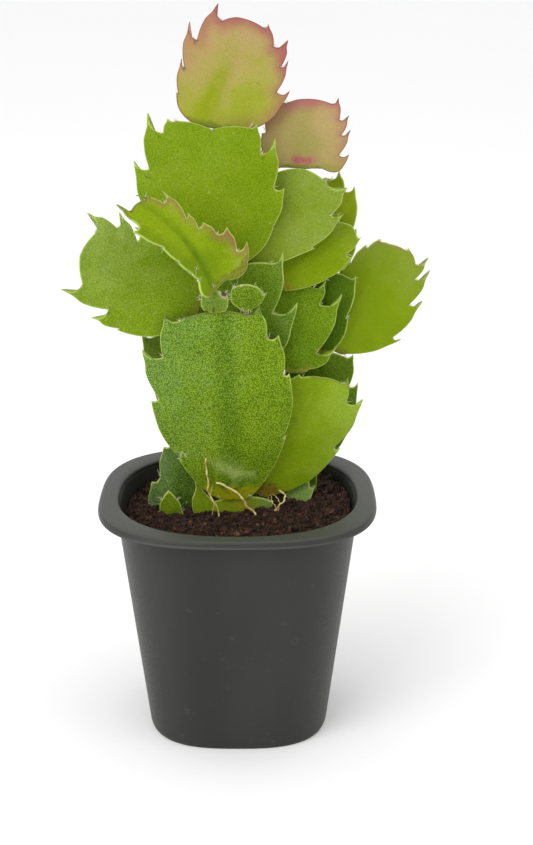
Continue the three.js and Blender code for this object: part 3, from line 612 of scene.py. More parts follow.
LOOKS = {  # slot; main, deep and haze colour; and what differs from the plain skin
    "mother": ("old_segment", (132, 156, 20), (98, 124, 16), (120, 140, 84), dict(
        start=-0.1, side=0.9, speckle=0.5, foot_reach=0.01, scar_across=1, scar_along=17.6, scar_size=4,
        scar_flat=2, scar=(150, 140, 30), marks=0.6,
    )),
    "front": ("segment", (138, 168, 24), (98, 132, 22), (112, 150, 74), dict(
        start=-0.2, side=-0.45, rise=0.6, speckle=1, rib=0.85, rib_width=4.2, foot_reach=0.075,
        foot=(172, 176, 24), cracks=0.6, marks=0.35, dry=0.5, scar_across=0.4, scar_along=7.8,
        scar_size=4.4, scar_lean=0.7, scar=(168, 188, 100), flecks=0.15,
    )),
    "left": ("segment", (128, 156, 22), (108, 138, 18), (150, 172, 82), dict(
        start=-0.35, side=0.25, rise=0.95, speckle=0.5, rib=0.25, flecks=0.7,
    )),
    "neck": ("segment", (122, 150, 46), (98, 128, 36), (134, 156, 76), dict(
        start=0.2, speckle=0.6, scar_across=2.2, scar_along=4.2, scar_size=1.3, scar_flat=0.9,
        scar_dark=0.9, scar=(220, 204, 172), marks=0.6, cracks=0.8,
    )),
    "left_pink": ("pink_segment", (142, 168, 10), (96, 128, 4), (172, 162, 84), dict(
        start=-0.75, side=1.2, rise=0.6, speckle=0.25, rib=0.8, rib_width=2, rib_fade=0.5, flush_reach=2,
        flush_rise=-0.5, flush_side=1.3, flush=(154, 96, 80), dry=0.5,
    )),
    "bud": ("light_segment", (114, 146, 20), (94, 124, 14), (140, 162, 70), dict(
        start=-0.1, speckle=0.9,
    )),
    "right_front": ("light_segment", (144, 172, 22), (124, 154, 6), (156, 182, 66), dict(
        start=-0.35, side=0.7, rise=0.3, speckle=0.35, foot_reach=0.1, foot=(132, 114, 34), cracks=0.9,
        dry=0.4,
    )),
    "middle": ("segment", (118, 150, 16), (98, 130, 8), (118, 144, 50), dict(
        start=-0.3, side=0.4, speckle=0.6, rib=0.4,
    )),
    "right_upper": ("segment", (132, 157, 6), (118, 145, 3), (150, 168, 68), dict(
        start=-0.7, rise=1.1, speckle=0.25, foot_reach=0.1, foot=(140, 142, 30),
    )),
    "back_middle": ("segment", (114, 146, 28), (96, 130, 18), (116, 150, 66), dict(
        start=-0.35, side=0.8, speckle=0.7,
    )),
    "top_left": ("light_segment", (128, 154, 14), (110, 140, 5), (132, 156, 52), dict(
        start=-0.2, rise=0.3, speckle=0.4, rib=0.15, flecks=0.6,
    )),
    "top_pink": ("pink_segment", (166, 170, 64), (146, 158, 22), (188, 158, 110), dict(
        start=-0.1, side=-0.4, rise=1.1, speckle=0.25, rib=0.95, rib_width=3.6, rib_fade=0.85,
        flush_reach=3.4, flush_side=0.45, flush=(168, 104, 96), cracks=0, edge=PINK_EDGE,
    )),
    "top_right": ("segment", (138, 160, 42), (122, 148, 26), (142, 162, 82), dict(
        start=-0.25, side=0.2, rise=0.6, speckle=0.35, rib=0.25,
    )),
    "right_pink": ("pink_segment", (174, 158, 96), (156, 150, 80), (190, 162, 114), dict(
        rise=0.5, speckle=0.25, rib=0.55, flush_reach=3.2, flush_side=0.2, flush=(172, 108, 104),
        edge=PINK_EDGE, scar_along=1.2, scar_size=3.2, scar_flat=2.4, scar=(184, 62, 108),
        foot=(150, 150, 70), cracks=0,
    )),
    "back_left": ("segment", (98, 124, 22), (84, 110, 14), (112, 134, 58), dict(
        start=-0.3, side=-0.5, speckle=0.5,
    )),
    "back_right": ("old_segment", (98, 128, 20), (80, 112, 6), (106, 136, 50), dict(
        start=-0.4, side=0.4, speckle=0.5,
    )),
    # right_inner's darker greens are partly its older tone and partly painted shade of its place behind the
    # other blades.
    "right_inner": ("old_segment", (84, 116, 8), (66, 100, 3), (100, 128, 30), dict(
        start=-0.4, side=0.4,
    )),
    "right_outer": ("light_segment", (130, 156, 8), (118, 146, 4), (142, 158, 62), dict(
        start=-0.9, rise=1.5, speckle=0.12, rib=0.1, flush_reach=0.7, flush_rise=-0.2,
        flush=(150, 132, 84),
    )),
    "back_top": ("light_segment", (146, 166, 12), (128, 152, 6), (160, 172, 60), dict(
        start=-0.6, rise=0.9, speckle=0.2,
    )),
    "low_left": ("old_segment", (84, 114, 34), (62, 92, 24), (122, 148, 92), dict(
        start=-0.15, side=-0.8, speckle=0.7,
    )),
    "low_left_tip": ("light_segment", (122, 148, 20), (100, 126, 14), (130, 150, 56), dict(
        start=-0.4, speckle=0.5,
    )),
    "low_right": ("old_segment", (148, 176, 88), (116, 148, 60), (160, 182, 124), dict(
        start=0.2, side=0.4, speckle=0.6, dry=0.9,
    )),
}


def skin_group():
    """Waxy cactus skin: cloudy green, a pale haze that grows to one side, partly waxy bloom and partly
    painted sheen, a darker midrib, fine pale grains, a pale line along the margin that is painted light
    shining through the thin edge, a flush of colour inside that, a corky foot with cracks, a dry far
    end and one pale scuff or scar."""
    outputs = {"Color": "Color", "Roughness": "Float", "Height": "Float"}
    tree, given, out = new_group("Cactus skin", PLAIN_SKIN, outputs)
    place = here(tree)
    edge, across, along = mask(tree, "edge_mm"), mask(tree, "across_mm"), mask(tree, "along_mm")
    side, rise, notch = mask(tree, "side"), mask(tree, "rise"), mask(tree, "notch_mm")
    broad, patch = noise(place, CLOUD_SCALE, 3), noise(place, PATCH_SCALE, 3)
    grain = noise(place, GRAIN_SCALE, 2, 0.6)
    cells = cells_of(place, CELL_SCALE, "Distance")

    colour = tint(ramp(broad, 0.34, 0.6, 0.5, 1), given["Deep"], given["Main"])
    # The haze: partly waxy bloom and partly painted sheen.
    haze = calc("MULTIPLY_ADD", side, given["Side"], given["Start"])
    haze = calc("MULTIPLY_ADD", rise, given["Rise"], haze)
    haze = calc("ADD", haze, ramp(broad, 0.3, 0.7, -0.18, 0.18))
    haze = calc("ADD", haze, ramp(patch, 0.3, 0.7, -0.12, 0.12), clamp=True)
    colour = tint(haze, colour, given["Haze"])
    from_rib = calc("DIVIDE", calc("ABSOLUTE", across), given["Rib Width"])
    near_rib = times(ramp(from_rib, 0.06, 1, 1, 0), ramp(patch, 0.25, 0.6, 0.6, 1))
    fade = times(ramp(rise, 0.35, 0.8), given["Rib Fade"])
    near_rib = times(near_rib, calc("SUBTRACT", 1.0, fade))
    colour = tint(times(near_rib, given["Rib"]), colour, given["Deep"])

    light = tint(0.4, colour, given["Edge"])
    dark = tint(0.8, colour, given["Deep"], "MULTIPLY")
    bumps = calc("MULTIPLY_ADD", grain, -0.5, calc("ADD", cells, 0.25))
    pale = times(ramp(bumps, 0.16, 0.42, 1, 0), given["Speckle"])
    low = times(ramp(bumps, 0.4, 0.66), given["Speckle"])
    colour = tint(times(low, 0.7), colour, dark)
    colour = tint(times(pale, 0.7), colour, light)

    foot = calc("ADD", rise, ramp(patch, 0.3, 0.7, -0.02, 0.02))
    foot = ramp(calc("DIVIDE", foot, given["Foot Reach"]), 0.5, 1.2, 1, 0)
    colour = tint(foot, colour, given["Foot"])
    flat = wire(tree, "CombineXYZ", across, times(along, 2.6), given["Scar Along"]).outputs[0]
    crack = times(ramp(noise(flat, 0.9, 3, 0.6, 0.6), 0.56, 0.62), foot)
    crack = times(crack, given["Cracks"])

    weight = calc("MULTIPLY_ADD", side, given["Flush Side"], calc("ADD", rise, given["Flush Rise"]))
    flush = calc("DIVIDE", edge, given["Flush Reach"])
    flush = ramp(calc("ADD", flush, ramp(broad, 0.3, 0.7, -0.3, 0.3)), -0.1, 1.1, 1, 0)
    flush = times(flush, calc("MAXIMUM", weight, 0.0), clamp=True)
    colour = tint(flush, colour, given["Flush"])
    # The pale line along the margin: painted light shining through the thin edge.
    line = ramp(calc("MULTIPLY_ADD", patch, 0.2, edge), 0.16, 0.45, 0.85, 0)
    colour = tint(line, colour, given["Edge"])

    off_u = calc("SUBTRACT", across, given["Scar Across"])
    off_v = calc("SUBTRACT", along, given["Scar Along"])
    lean = calc("MULTIPLY_ADD", off_v, given["Scar Lean"], off_u)
    away = wire(tree, "CombineXYZ", lean, times(off_v, given["Scar Flat"])).outputs[0]
    away = wire(tree, "VectorMath", away, props={"operation": "LENGTH"}).outputs["Value"]
    away = calc("DIVIDE", away, given["Scar Size"])
    away = calc("ADD", away, ramp(patch, 0.3, 0.7, -0.3, 0.3))
    scar = times(ramp(away, 0.1, 1.2, 0.9, 0), ramp(grain, 0.38, 0.6, 0.5, 1))
    colour = tint(scar, colour, given["Scar"])
    core = times(ramp(away, 0.2, 0.5, 1, 0), given["Scar Dark"])

    flecks = times(ramp(noise(place, FLECK_SCALE, 4, 0.7), 0.6, 0.74), ramp(broad, 0.45, 0.6))
    colour = tint(times(flecks, given["Flecks"]), colour, FLECK_COLOUR)

    spots = ramp(noise(place, 340, 1), 0.765, 0.79)
    dry = times(ramp(notch, 0.15, 0.6, 1, 0), 0.15)
    last = times(ramp(rise, 0.96, 0.975), ramp(edge, 0.2, 0.5, 1, 0))
    marks = calc("MAXIMUM", times(spots, given["Marks"]), dry)
    marks = calc("MAXIMUM", marks, times(last, given["Dry"]))
    marks = calc("MAXIMUM", marks, calc("MAXIMUM", crack, core))
    colour = tint(marks, colour, MARK_COLOUR)
    colour = tint(1.0, colour, (SHADE, SHADE, SHADE, 1), "MULTIPLY")

    put(out["Color"], colour)
    put(out["Roughness"], calc("MULTIPLY_ADD", haze, 0.08, ramp(grain, 0.3, 0.7, 0.42, 0.56)))
    relief = calc("MULTIPLY_ADD", grain, 0.45, times(ramp(cells, 0, 0.7), 0.3))
    put(out["Height"], calc("MULTIPLY_ADD", patch, 0.9, relief))
    return tree


SKIN = skin_group()


def skin_material(name, main, deep, haze, more):
    """One blade's own skin, from the shared group."""
    material, tree, shader = new_material(
        "skin_" + name, Specular_IOR_Level=0.06, Subsurface_Weight=0.12, Subsurface_Scale=0.0012,
        Subsurface_Radius=(0.6, 1.0, 0.2),
    )
    got = place_group(tree, SKIN, {**PLAIN_SKIN, "main": main, "deep": deep, "haze": haze, **more})
    feed(shader, got["Color"], got["Roughness"], got["Height"], 0.35, 0.00012)
    return material


blades = {name: Blade(i, **shape) for i, (name, shape) in enumerate(BLADES.items())}
for name, blade in blades.items():
    slot, *look = LOOKS[name]
    make_blade(name, blade, skin_material(name, *look), slot)

# ---- bristles in the notches --------------------------------------------------------------


def around(first, second, turn):
    """The ways out of a line at those turns: the first of two ways square to it times the turn's
    cosine, plus the second times its sine."""
    return first[:, None] * np.cos(turn)[None, :, None] + second[:, None] * np.sin(turn)[None, :, None]


def hairs(roots, ways, lengths, radius, bends):
    """Thin tapering hairs of three sides. A hair's middle line is root + s*length*way, plus the
    square of s times its bend, and its radius falls as 1 - s^2."""
    steps = np.array([0.0, 0.35, 0.7, 1.0])
    helper = np.where(np.abs(ways[:, 2:3]) < 0.8, [[0, 0, 1.0]], [[1.0, 0, 0]])
    first = unit(np.cross(ways, helper))
    second = np.cross(ways, first)
    ring = around(first, second, 2 * math.pi * np.arange(3) / 3)
    s = steps[None, :, None]
    line = roots[:, None] + s * (lengths[:, None] * ways)[:, None] + s**2 * bends[:, None]
    size = radius * (1 - 0.92 * steps**2)
    points = (line[:, :, None] + size[None, :, None, None] * ring[:, None]).reshape(-1, 3)
    sides = []
    for k in range(3):
        for i in range(3):
            a, b = 3 * k + i, 3 * k + (i + 1) % 3
            sides += [(a, b, b + 3), (a, b + 3, a + 3)]
    one = np.array(sides + [(2, 1, 0), (9, 10, 11)])
    return points, (one[None] + 12 * np.arange(len(roots))[:, None, None]).reshape(-1, 3)


NOTCH_TUFT, NOTCH_HAIR = 6, 1.15  # how many hairs stand in a notch, and how long
HAIR_RADIUS = 0.045
HAIR_SEED = 4
# Tufts away from the notches: where on which blade, how many hairs, and how long.
TUFTS = [
    ("left_pink", 0.4, 1.2, 8, 1.4), ("left_pink", -2.4, 6.6, 10, 1.3), ("left", -2.9, 1.7, 12, 1.6),
    ("left", 3.4, 0.4, 6, 1.2), ("bud", -0.8, 0.2, 12, 1.7), ("bud", 0.8, -0.3, 8, 1.5),
    ("bud", -1.2, 5.6, 6, 1), ("low_left", -6.4, 9, 12, 1.8), ("low_left", 1.4, 11.6, 3, 2.6),
    ("low_right", -1.6, 11, 4, 1.4), ("right_front", 1.6, 0.4, 5, 1.4), ("front", -11.2, 12.6, 10, 1.7),
    ("front", -3.6, 0.4, 5, 1.2), ("front", 3.6, 0.4, 5, 1.2),
]


def notch_hairs(seed):
    """A tuft of a few hairs in each notch, fanned about the way out of it, and the tufts of the
    list, fanned about the way that their blade looks."""
    rng = np.random.default_rng(seed)
    roots, ways, lengths = [], [], []
    for blade in blades.values():
        spots, out = blade.notches()
        places = blade.middle_surface(*spots.T)
        beyond = blade.middle_surface(*(spots + 0.4 * out).T)
        roots.append(np.repeat(places, NOTCH_TUFT, 0))
        ways.append(np.repeat(unit(beyond - places), NOTCH_TUFT, 0))
        lengths.append(np.full(len(places) * NOTCH_TUFT, NOTCH_HAIR))
    for name, u, v, count, length in TUFTS:
        place = blades[name].middle_surface(np.array([u]), np.array([v])) + 0.4 * blades[name].normal
        roots.append(np.repeat(place, count, 0))
        ways.append(np.repeat(blades[name].normal[None], count, 0))
        lengths.append(np.full(count, length))
    roots, ways, lengths = np.concatenate(roots), np.concatenate(ways), np.concatenate(lengths)
    roots = roots + rng.normal(0, 0.14, roots.shape)
    ways = unit(ways + rng.normal(0, 0.5, roots.shape))
    lengths = lengths * rng.uniform(0.6, 1.5, len(roots))
    return hairs(roots - 0.15 * ways, ways, lengths, HAIR_RADIUS, rng.normal(0, 0.25, roots.shape))


def hair_material():
    """Pale bristles, straw-coloured in places."""
    material, tree, shader = new_material("pale_hair", Specular_IOR_Level=0.3)
    tone = noise(here(tree), 900, 2)
    colour = tint(ramp(tone, 0.35, 0.6), srgb(186, 178, 136), srgb(238, 240, 218))
    feed(shader, colour, ramp(tone, 0.3, 0.7, 0.5, 0.7), tone, 0.2, 0.00005)
    return material


make_piece("bristles", *notch_hairs(HAIR_SEED), hair_material(), "root")

# ---- the pot ------------------------------------------------------------------------------


def squircle(half_width, exponent, angle):
    """Distance from the axis of a rounded square: half_width over the exponent's root of
    |cos|^exponent + |sin|^exponent."""
    total = np.abs(np.cos(angle)) ** exponent + np.abs(np.sin(angle)) ** exponent
    return half_width / total ** (1 / exponent)


def rounded_profile(corners, radii, steps=6):
    """A profile through corners of (half width, height, exponent), with each corner replaced by
    the quadratic curve between the points one radius before and after it."""
    corners = np.array(corners, float)
    rows = [corners[:1]]
    t = np.linspace(0, 1, steps)[:, None]
    for before, corner, after, radius in zip(corners, corners[1:], corners[2:], radii):
        gaps = [np.linalg.norm((p - corner)[:2]) for p in (before, after)]
        a, b = (corner + (p - corner) * min(radius, 0.48 * g) / g for p, g in zip((before, after), gaps))
        rows.append((1 - t) ** 2 * a + 2 * t * (1 - t) * corner + t**2 * b)
    return np.concatenate(rows + [corners[-1:]])


def revolve_squircle(profile, sides):
    """The surface at (row, angle): the row's rounded square at the row's height."""
    angle = full_turn(sides)
    reach = squircle(profile[:, :1], np.maximum(profile[:, 2:], 2), angle[None, :])
    return round_surface(reach, angle, profile[:, 1:2])


POT_CORNERS = [  # half width, height and exponent, outside from the foot up, and then inside
    (0, 0, 2.8), (21.1, 0, 2.8), (21.5, 0.9, 2.8), (28.4, 55.2, 2.8), (32.2, 55.2, 2.85),
    (32.6, 55.3, 2.85), (32.6, 55.6, 2.85), (32.42, 55.85, 2.85), (32.32, 56.45, 2.85),
    (31.8, 56.95, 2.8), (29.2, 57, 2.5), (28.2, 56.75, 2.3), (27.5, 55.1, 2.6), (20.5, 1.6, 2.7),
    (0, 1.6, 2.7),
]
CORNER_RADII = [0.3, 0.5, 0.3, 0.15, 0.15, 0.12, 0.12, 0.4, 0.4, 0.5, 0.5, 0.5, 1.5]
POT_SIDES = 256
# Painted light and shade on the rim: a painted highlight along the bead, painted shade on the face above
# it, and a painted highlight on the top.
RIM_LIGHT_AND_SHADE_BANDS = [  # the heights in metres over which the rim goes on to that colour
    (0.0551, 0.0554, (62, 63, 59)), (0.0556, 0.0559, (46, 47, 43)), (0.0565, 0.0568, (66, 67, 62)),
]
DRAIN_RADIUS, DRAIN_OFFSET, DRAIN_SIDES = 2.4, 10, 32


def pot_surface():
    """The pot's outside from the foot up, over the flat rim with a fine bead along its lower edge,
    and down the inside to its floor."""
    return revolve_squircle(rounded_profile(POT_CORNERS, CORNER_RADII), POT_SIDES)


def pot_material():
    """Charcoal moulded plastic: faint flow clouds, a fine matt grain, light scuffs, and painted light
    and shade on the rim: painted highlights on its top and along its bead, and painted shade on its face."""
    material, tree, shader = new_material("charcoal_plastic", Specular_IOR_Level=0.25)
    place = here(tree)
    height = wire(tree, "SeparateXYZ", place).outputs["Z"]
    clouds = noise(wire(tree, "Mapping", Vector=place, Scale=(1, 1, 0.35)).outputs[0], 38, 3)
    grain = noise(place, 1900, 3, 0.6)
    colour = tint(ramp(clouds, 0.3, 0.7), srgb(36, 37, 33), srgb(45, 46, 42))
    # painted highlights and painted shade on the rim, band by band by height
    for low, high, tone in RIM_LIGHT_AND_SHADE_BANDS:
        colour = tint(ramp(height, low, high), colour, srgb(*tone))
    scuff = times(ramp(noise(place, 260, 5, 0.7), 0.6, 0.72), 0.2)
    colour = tint(scuff, colour, srgb(80, 80, 75))
    rough = calc("MULTIPLY_ADD", clouds, 0.12, ramp(grain, 0.3, 0.7, 0.34, 0.46))
    feed(shader, colour, rough, grain, 0.12, 0.00006)
    return material


def drill_drains(pot):
    """Cuts the four drain holes through the floor with one boolean, and keeps its result."""
    height = np.array([-2.0, -2.0, 4.0, 4.0])[:, None]
    reach = np.array([0.0, DRAIN_RADIUS, DRAIN_RADIUS, 0.0])[:, None]
    tube = round_surface(reach, full_turn(DRAIN_SIDES), height)
    rows, columns = tube.shape[:2]
    centres = np.array([[x, y, 0] for x in (-1, 1) for y in (-1, 1)], float) * DRAIN_OFFSET
    points = (tube.reshape(1, -1, 3) + centres[:, None]).reshape(-1, 3)
    triangles = [grid_triangles(rows, columns, first=k * rows * columns) for k in range(len(centres))]
    drill = link_object("drains", make_mesh("drains", points, np.concatenate(triangles))[0])
    cut = pot.modifiers.new("drains", "BOOLEAN")
    cut.operation, cut.solver, cut.object = "DIFFERENCE", "EXACT", drill
    result = bpy.data.meshes.new_from_object(pot.evaluated_get(bpy.context.evaluated_depsgraph_get()))
    pot.modifiers.clear()
    pot.data = result
    bpy.data.objects.remove(drill)


drill_drains(grid_piece("pot_shell", pot_surface(), pot_material(), "pot", ["pot"]))

# ---- the soil -----------------------------------------------------------------------------


SOIL_FOOT, SOIL_FOOT_HALF = 1.9, 20.3  # height of the soil's foot, and half its width
SOIL_TOP, SOIL_HALF = 51.5, 26.8  # the same at its surface
SOIL_EXPONENT = 2.62  # of its rounded square
SOIL_SIDES, SOIL_RINGS = 360, 120
CLODS = [(3.4, 0.9), (1.9, 0.8), (1.0, 0.6), (0.55, 0.35)]  # size and depth
CRUMB_COUNT, CRUMB_REACH = 6500, 26.4
FIBRE_COUNT, FIBRE_REACH, FIBRE_RADIUS = 170, 25, 0.06
CLOD_SEED, CRUMB_SEED, BLOB_SEED, FIBRE_SEED = 10, 21, 22, 31
NOISE_TABLE = 128


def value_noise(x, y, size, seed):
    """Numbers from a seeded table at the corners of squares of that size, blended between them by
    3s^2 - 2s^3 in both directions."""
    table = np.random.default_rng(seed).uniform(-1, 1, (NOISE_TABLE, NOISE_TABLE))
    gx, gy = x / size + 60, y / size + 60
    ix, iy = np.floor(gx).astype(int), np.floor(gy).astype(int)
    fx, fy = smooth(gx - ix, 0, 1), smooth(gy - iy, 0, 1)
    (a, b), (c, d) = (
        [table[(ix + i) % NOISE_TABLE, (iy + j) % NOISE_TABLE] for i in (0, 1)] for j in (0, 1)
    )
    return (a * (1 - fx) + b * fx) * (1 - fy) + (c * (1 - fx) + d * fx) * fy


def soil_height(x, y):
    """The soil's surface: a slope that rises with x + y, long lumps that are a sine times a cosine,
    and clods of four sizes, each its depth times a half less the size of the noise."""
    slope = 0.045 * (x + y)
    lumps = np.sin(0.9 * x + 1.3 * np.sin(0.7 * y)) * np.cos(0.8 * y - 0.4 * x)
    clods = sum(
        depth * (0.5 - np.abs(value_noise(x, y, size, CLOD_SEED + i)))
        for i, (size, depth) in enumerate(CLODS)
    )
    return SOIL_TOP + slope + 0.35 * lumps + clods


def soil_surface():
    """Rings from the foot up the side and then inwards over the top, each a rounded square just
    inside the pot's wall, lifted to the soil's height."""
    angle = full_turn(SOIL_SIDES)
    share = np.concatenate([[0.0, 0.97, 1, 1], np.linspace(1, 0, SOIL_RINGS + 1)[1:]])
    half = np.concatenate([np.full(3, SOIL_FOOT_HALF), np.full(SOIL_RINGS + 1, SOIL_HALF)])
    reach = share[:, None] * squircle(half[:, None], SOIL_EXPONENT, angle[None, :])
    height = soil_height(reach * np.cos(angle), reach * np.sin(angle))
    height[:3] = SOIL_FOOT
    return round_surface(reach, angle, height)


def blobs(centres, sizes, seed):
    """Small lumps: a twenty-sided ball for each centre, pushed in and out at each corner,
    stretched three ways and turned at random."""
    g = (1 + 5**0.5) / 2
    ball = unit(np.array([
        [-1, g, 0], [1, g, 0], [-1, -g, 0], [1, -g, 0], [0, -1, g], [0, 1, g], [0, -1, -g], [0, 1, -g],
        [g, 0, -1], [g, 0, 1], [-g, 0, -1], [-g, 0, 1],
    ], float))
    faces = np.array([
        [0, 11, 5], [0, 5, 1], [0, 1, 7], [0, 7, 10], [0, 10, 11], [1, 5, 9], [5, 11, 4], [11, 10, 2],
        [10, 7, 6], [7, 1, 8], [3, 9, 4], [3, 4, 2], [3, 2, 6], [3, 6, 8], [3, 8, 9], [4, 9, 5],
        [2, 4, 11], [6, 2, 10], [8, 6, 7], [9, 8, 1],
    ])
    rng = np.random.default_rng(seed)
    count = len(centres)
    shape = ball[None] * rng.uniform(0.75, 1.2, (count, 12, 1))
    shape = shape * rng.uniform([0.8, 0.6, 0.5], [1.35, 1.1, 0.9], (count, 3))[:, None]
    turn = unit(rng.normal(size=(count, 4)))
    a, b, c, d = turn.T[:, :, None]
    x, y, z = shape[..., 0], shape[..., 1], shape[..., 2]
    turned = np.stack([
        (1 - 2 * (c * c + d * d)) * x + 2 * (b * c - a * d) * y + 2 * (b * d + a * c) * z,
        2 * (b * c + a * d) * x + (1 - 2 * (b * b + d * d)) * y + 2 * (c * d - a * b) * z,
        2 * (b * d - a * c) * x + 2 * (c * d + a * b) * y + (1 - 2 * (b * b + c * c)) * z,
    ], 2)
    points = (centres[:, None] + turned * sizes[:, None, None]).reshape(-1, 3)
    return points, (faces[None] + 12 * np.arange(count)[:, None, None]).reshape(-1, 3)


def soil_spots(count, seed, reach):
    """Places spread evenly at random over the soil, as (x, y, z) on its surface."""
    rng = np.random.default_rng(seed)
    angle = rng.uniform(0, 2 * math.pi, count)
    way = np.sqrt(rng.uniform(0, 1, count)) * squircle(reach, SOIL_EXPONENT, angle)
    x, y = way * np.cos(angle), way * np.sin(angle)
    return np.stack([x, y, soil_height(x, y)], 1), rng


def soil_material(name, dark, warm, pale, pale_share):
    """Damp peat: dark and warm browns in patches, with scattered paler crumbs."""
    material, tree, shader = new_material(name, Specular_IOR_Level=0.25)
    place = here(tree)
    patch = noise(place, 520, 4, 0.65)
    grain = noise(place, 2600, 4, 0.7)
    cells = cells_of(place, 900, "Color")
    pick = wire(tree, "SeparateXYZ", cells).outputs["X"]
    colour = tint(ramp(patch, 0.35, 0.65), srgb(*dark), srgb(*warm))
    colour = tint(ramp(pick, 1 - pale_share, 1), colour, srgb(*pale))
    colour = tint(ramp(grain, 0.3, 0.6, 0.55, 0), colour, srgb(24, 16, 12))
    height = calc("MULTIPLY_ADD", grain, 0.6, patch)
    feed(shader, colour, ramp(grain, 0.3, 0.7, 0.75, 0.95), height, 0.7, 0.0003)
    return material


PEAT = soil_material("peat", (30, 19, 13), (56, 36, 26), (96, 68, 48), 0.08)
grid_piece("soil_bed", soil_surface(), PEAT, "soil", ["soil"])
CRUMB = soil_material("peat_crumb", (34, 22, 15), (74, 48, 35), (108, 76, 54), 0.06)
spots, rng = soil_spots(CRUMB_COUNT, CRUMB_SEED, CRUMB_REACH)
sizes = 0.22 + 0.55 * rng.uniform(0, 1, len(spots)) ** 2.2
make_piece("soil_crumbs", *blobs(spots + [0, 0, 0.1], sizes, BLOB_SEED), CRUMB, "soil")
spots, rng = soil_spots(FIBRE_COUNT, FIBRE_SEED, FIBRE_REACH)
ways = unit(rng.normal(size=spots.shape) * [1, 1, 0.25])
lengths = rng.uniform(1, 3, len(spots))
fibres = hairs(spots + [0, 0, 0.35], ways, lengths, FIBRE_RADIUS, rng.normal(0, 0.4, spots.shape))
make_piece("soil_fibres", *fibres, CRUMB, "soil")

# ---- the roots ----------------------------------------------------------------------------

ROOTS = {  # radius, and points of the middle line
    "root_left": (0.19, [
        (-7.3, -4.6, 66.8), (-7.4, -4.3, 65), (-6.9, -3.7, 61.2), (-6.8, -3.1, 57.5), (-4.9, -2.8, 54.1),
        (-4.2, -2.8, 50),
    ]),
    "root_middle": (0.25, [
        (-5.1, -3.4, 60.3), (-2.9, -3.6, 59.6), (0.8, -3.5, 56.9), (2, -3.4, 54.6), (4.2, -3.2, 52.3),
        (4.8, -3.2, 50),
    ]),
    "root_right": (0.19, [
        (9.7, -1.9, 57.9), (11.1, -2, 56.7), (10.7, -2.2, 55.1), (8.7, -2.2, 52.8), (8.2, -2.1, 50),
    ]),
}
FINE_ROOT_RADIUS = 0.08
FINE_ROOTS = [
    [(8.1, -2.4, 57.1), (9.2, -2.5, 56.2), (9.9, -2.4, 54.6), (9.4, -2.3, 52.2)],
    [(7.9, -2.2, 56.6), (8.2, -2.5, 55), (9.2, -2.4, 53.4), (9, -2.2, 51.8)],
    [(-5.9, -3.3, 59.4), (-6.4, -3.5, 57), (-5.6, -3.3, 55), (-6.1, -3, 51.8)],
]


def curve_through(points, count):
    """A Catmull-Rom curve through the points, with its two ends repeated."""
    p = np.array(points, float)
    p = np.concatenate([2 * p[:1] - p[1:2], p, 2 * p[-1:] - p[-2:-1]])
    t = np.linspace(0, len(points) - 1, count)
    i = np.minimum(t.astype(int), len(points) - 2)
    f = (t - i)[:, None]
    a, b, c, d = p[i], p[i + 1], p[i + 2], p[i + 3]
    square, cube = 2 * a - 5 * b + 4 * c - d, 3 * b - a - 3 * c + d
    return 0.5 * (2 * b + (c - a) * f + square * f**2 + cube * f**3)


def root_tube(points, radius, seed, count=90, sides=10):
    """A tube round the curve through the points. Its radius tapers to both ends and swells at
    random by a tenth, and its line wanders a little."""
    line = curve_through(points, count)
    s = np.linspace(0, 1, count)
    wander = [0.12 * np.sin(31 * s + seed + k) * np.sin(math.pi * s) for k in range(3)]
    line = line + np.stack(wander, 1)
    tangent = unit(np.gradient(line, axis=0))
    first = unit(np.cross(tangent, [0.35, -0.9, 0.1]))
    second = np.cross(tangent, first)
    from_end = np.minimum(np.minimum(s, 1 - s) / 0.03, 1)
    size = radius * (1 + 0.12 * np.sin(47 * s + 2 * seed)) * np.sqrt(1 - (1 - from_end) ** 2)
    return line[:, None] + size[:, None, None] * around(first, second, full_turn(sides))


def root_material():
    """Dry straw-coloured root with darker lengths and a few brown marks."""
    material, tree, shader = new_material("dry_root", Specular_IOR_Level=0.3)
    place = here(tree)
    patch, grain = noise(place, 420, 3), noise(place, 2400, 3)
    colour = tint(ramp(patch, 0.35, 0.65), srgb(178, 150, 84), srgb(226, 210, 142))
    colour = tint(ramp(grain, 0.62, 0.75, 0, 0.5), colour, srgb(120, 84, 40))
    feed(shader, colour, ramp(grain, 0.3, 0.7, 0.55, 0.75), grain, 0.3, 0.0001)
    return material


STRAW = root_material()
for k, (name, (radius, points)) in enumerate(ROOTS.items()):
    grid_piece(name + "_strand", root_tube(points, radius, 3 * k), STRAW, "root", [name])
for k, points in enumerate(FINE_ROOTS):
    tube = root_tube(points, FINE_ROOT_RADIUS, 5 * k, 50, 6)
    grid_piece("fine_root_%d" % (k + 1), tube, STRAW, "root")

# ---- floor, light and camera --------------------------------------------------------------


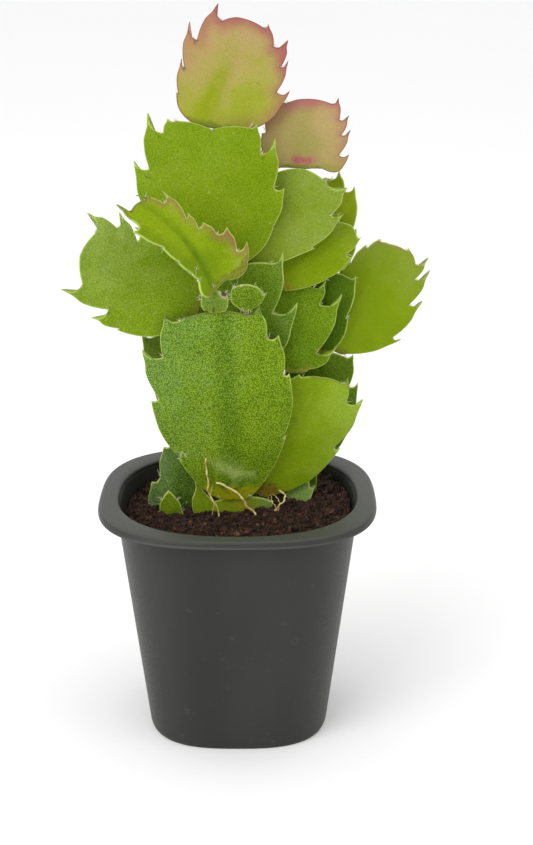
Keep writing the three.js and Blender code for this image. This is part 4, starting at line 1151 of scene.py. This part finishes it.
LIGHT_AIM = (0, 0, 0.07)
SOFTBOXES = [  # name, place, size in metres, and power
    ("key", (-0.5, -0.7, 0.75), 0.6, 3.5), ("side", (-0.75, -0.5, 0.28), 0.5, 2.2),
    ("fill", (0.75, -0.3, 0.3), 0.5, 1),
]
CAMERA_LENS, SENSOR_WIDTH = 72.94, 36
CAMERA_TILT = math.radians(18.2)  # how far it looks down
CAMERA_DISTANCE = 0.4  # in metres, from its aim
CAMERA_AIM = (0.0068, 0.074)  # x and z of its aim on the plant's middle


def add_floor():
    """A wide pale floor."""
    mesh = bpy.data.meshes.new("floor")
    mesh.from_pydata([(-6, -4, 0), (6, -4, 0), (6, 8, 0), (-6, 8, 0)], [], [(0, 1, 2, 3)])
    material, tree, shader = new_material("pale_floor", Roughness=0.9, Specular_IOR_Level=0.1)
    tone = noise(here(tree), 3, 2)
    put(shader.inputs["Base Color"], tint(tone, (0.93, 0.93, 0.93, 1), (0.95, 0.95, 0.95, 1)))
    mesh.materials.append(material)
    floor = link_object("floor", mesh)


def add_softbox(name, place, size, power):
    """A square soft light, turned to the plant's middle."""
    data = bpy.data.lights.new(name, "AREA")
    data.size, data.energy = size, power
    light = link_object(name, data)
    light.location = place
    light.rotation_mode = "QUATERNION"
    light.rotation_quaternion = (Vector(LIGHT_AIM) - Vector(place)).to_track_quat("-Z", "Y")


def add_camera():
    """Looks along +Y and down by its tilt, at that distance from its aim."""
    data = bpy.data.cameras.new("camera")
    data.lens, data.sensor_width = CAMERA_LENS, SENSOR_WIDTH
    data.clip_start, data.clip_end = 0.01, 50
    camera = link_object("camera", data)
    (x, z), back, up = CAMERA_AIM, math.cos(CAMERA_TILT), math.sin(CAMERA_TILT)
    camera.location = (x, -CAMERA_DISTANCE * back, z + CAMERA_DISTANCE * up)
    camera.rotation_euler = (math.pi / 2 - CAMERA_TILT, 0, 0)
    bpy.context.scene.camera = camera


add_floor()
for softbox in SOFTBOXES:
    add_softbox(*softbox)
add_camera()
world = bpy.data.worlds.new("studio")
world.use_nodes = True
background = world.node_tree.nodes["Background"]
background.inputs["Color"].default_value = (1, 1, 1, 1)
background.inputs["Strength"].default_value = 1.0
bpy.context.scene.world = world
bpy.context.scene.view_settings.view_transform = "Standard"
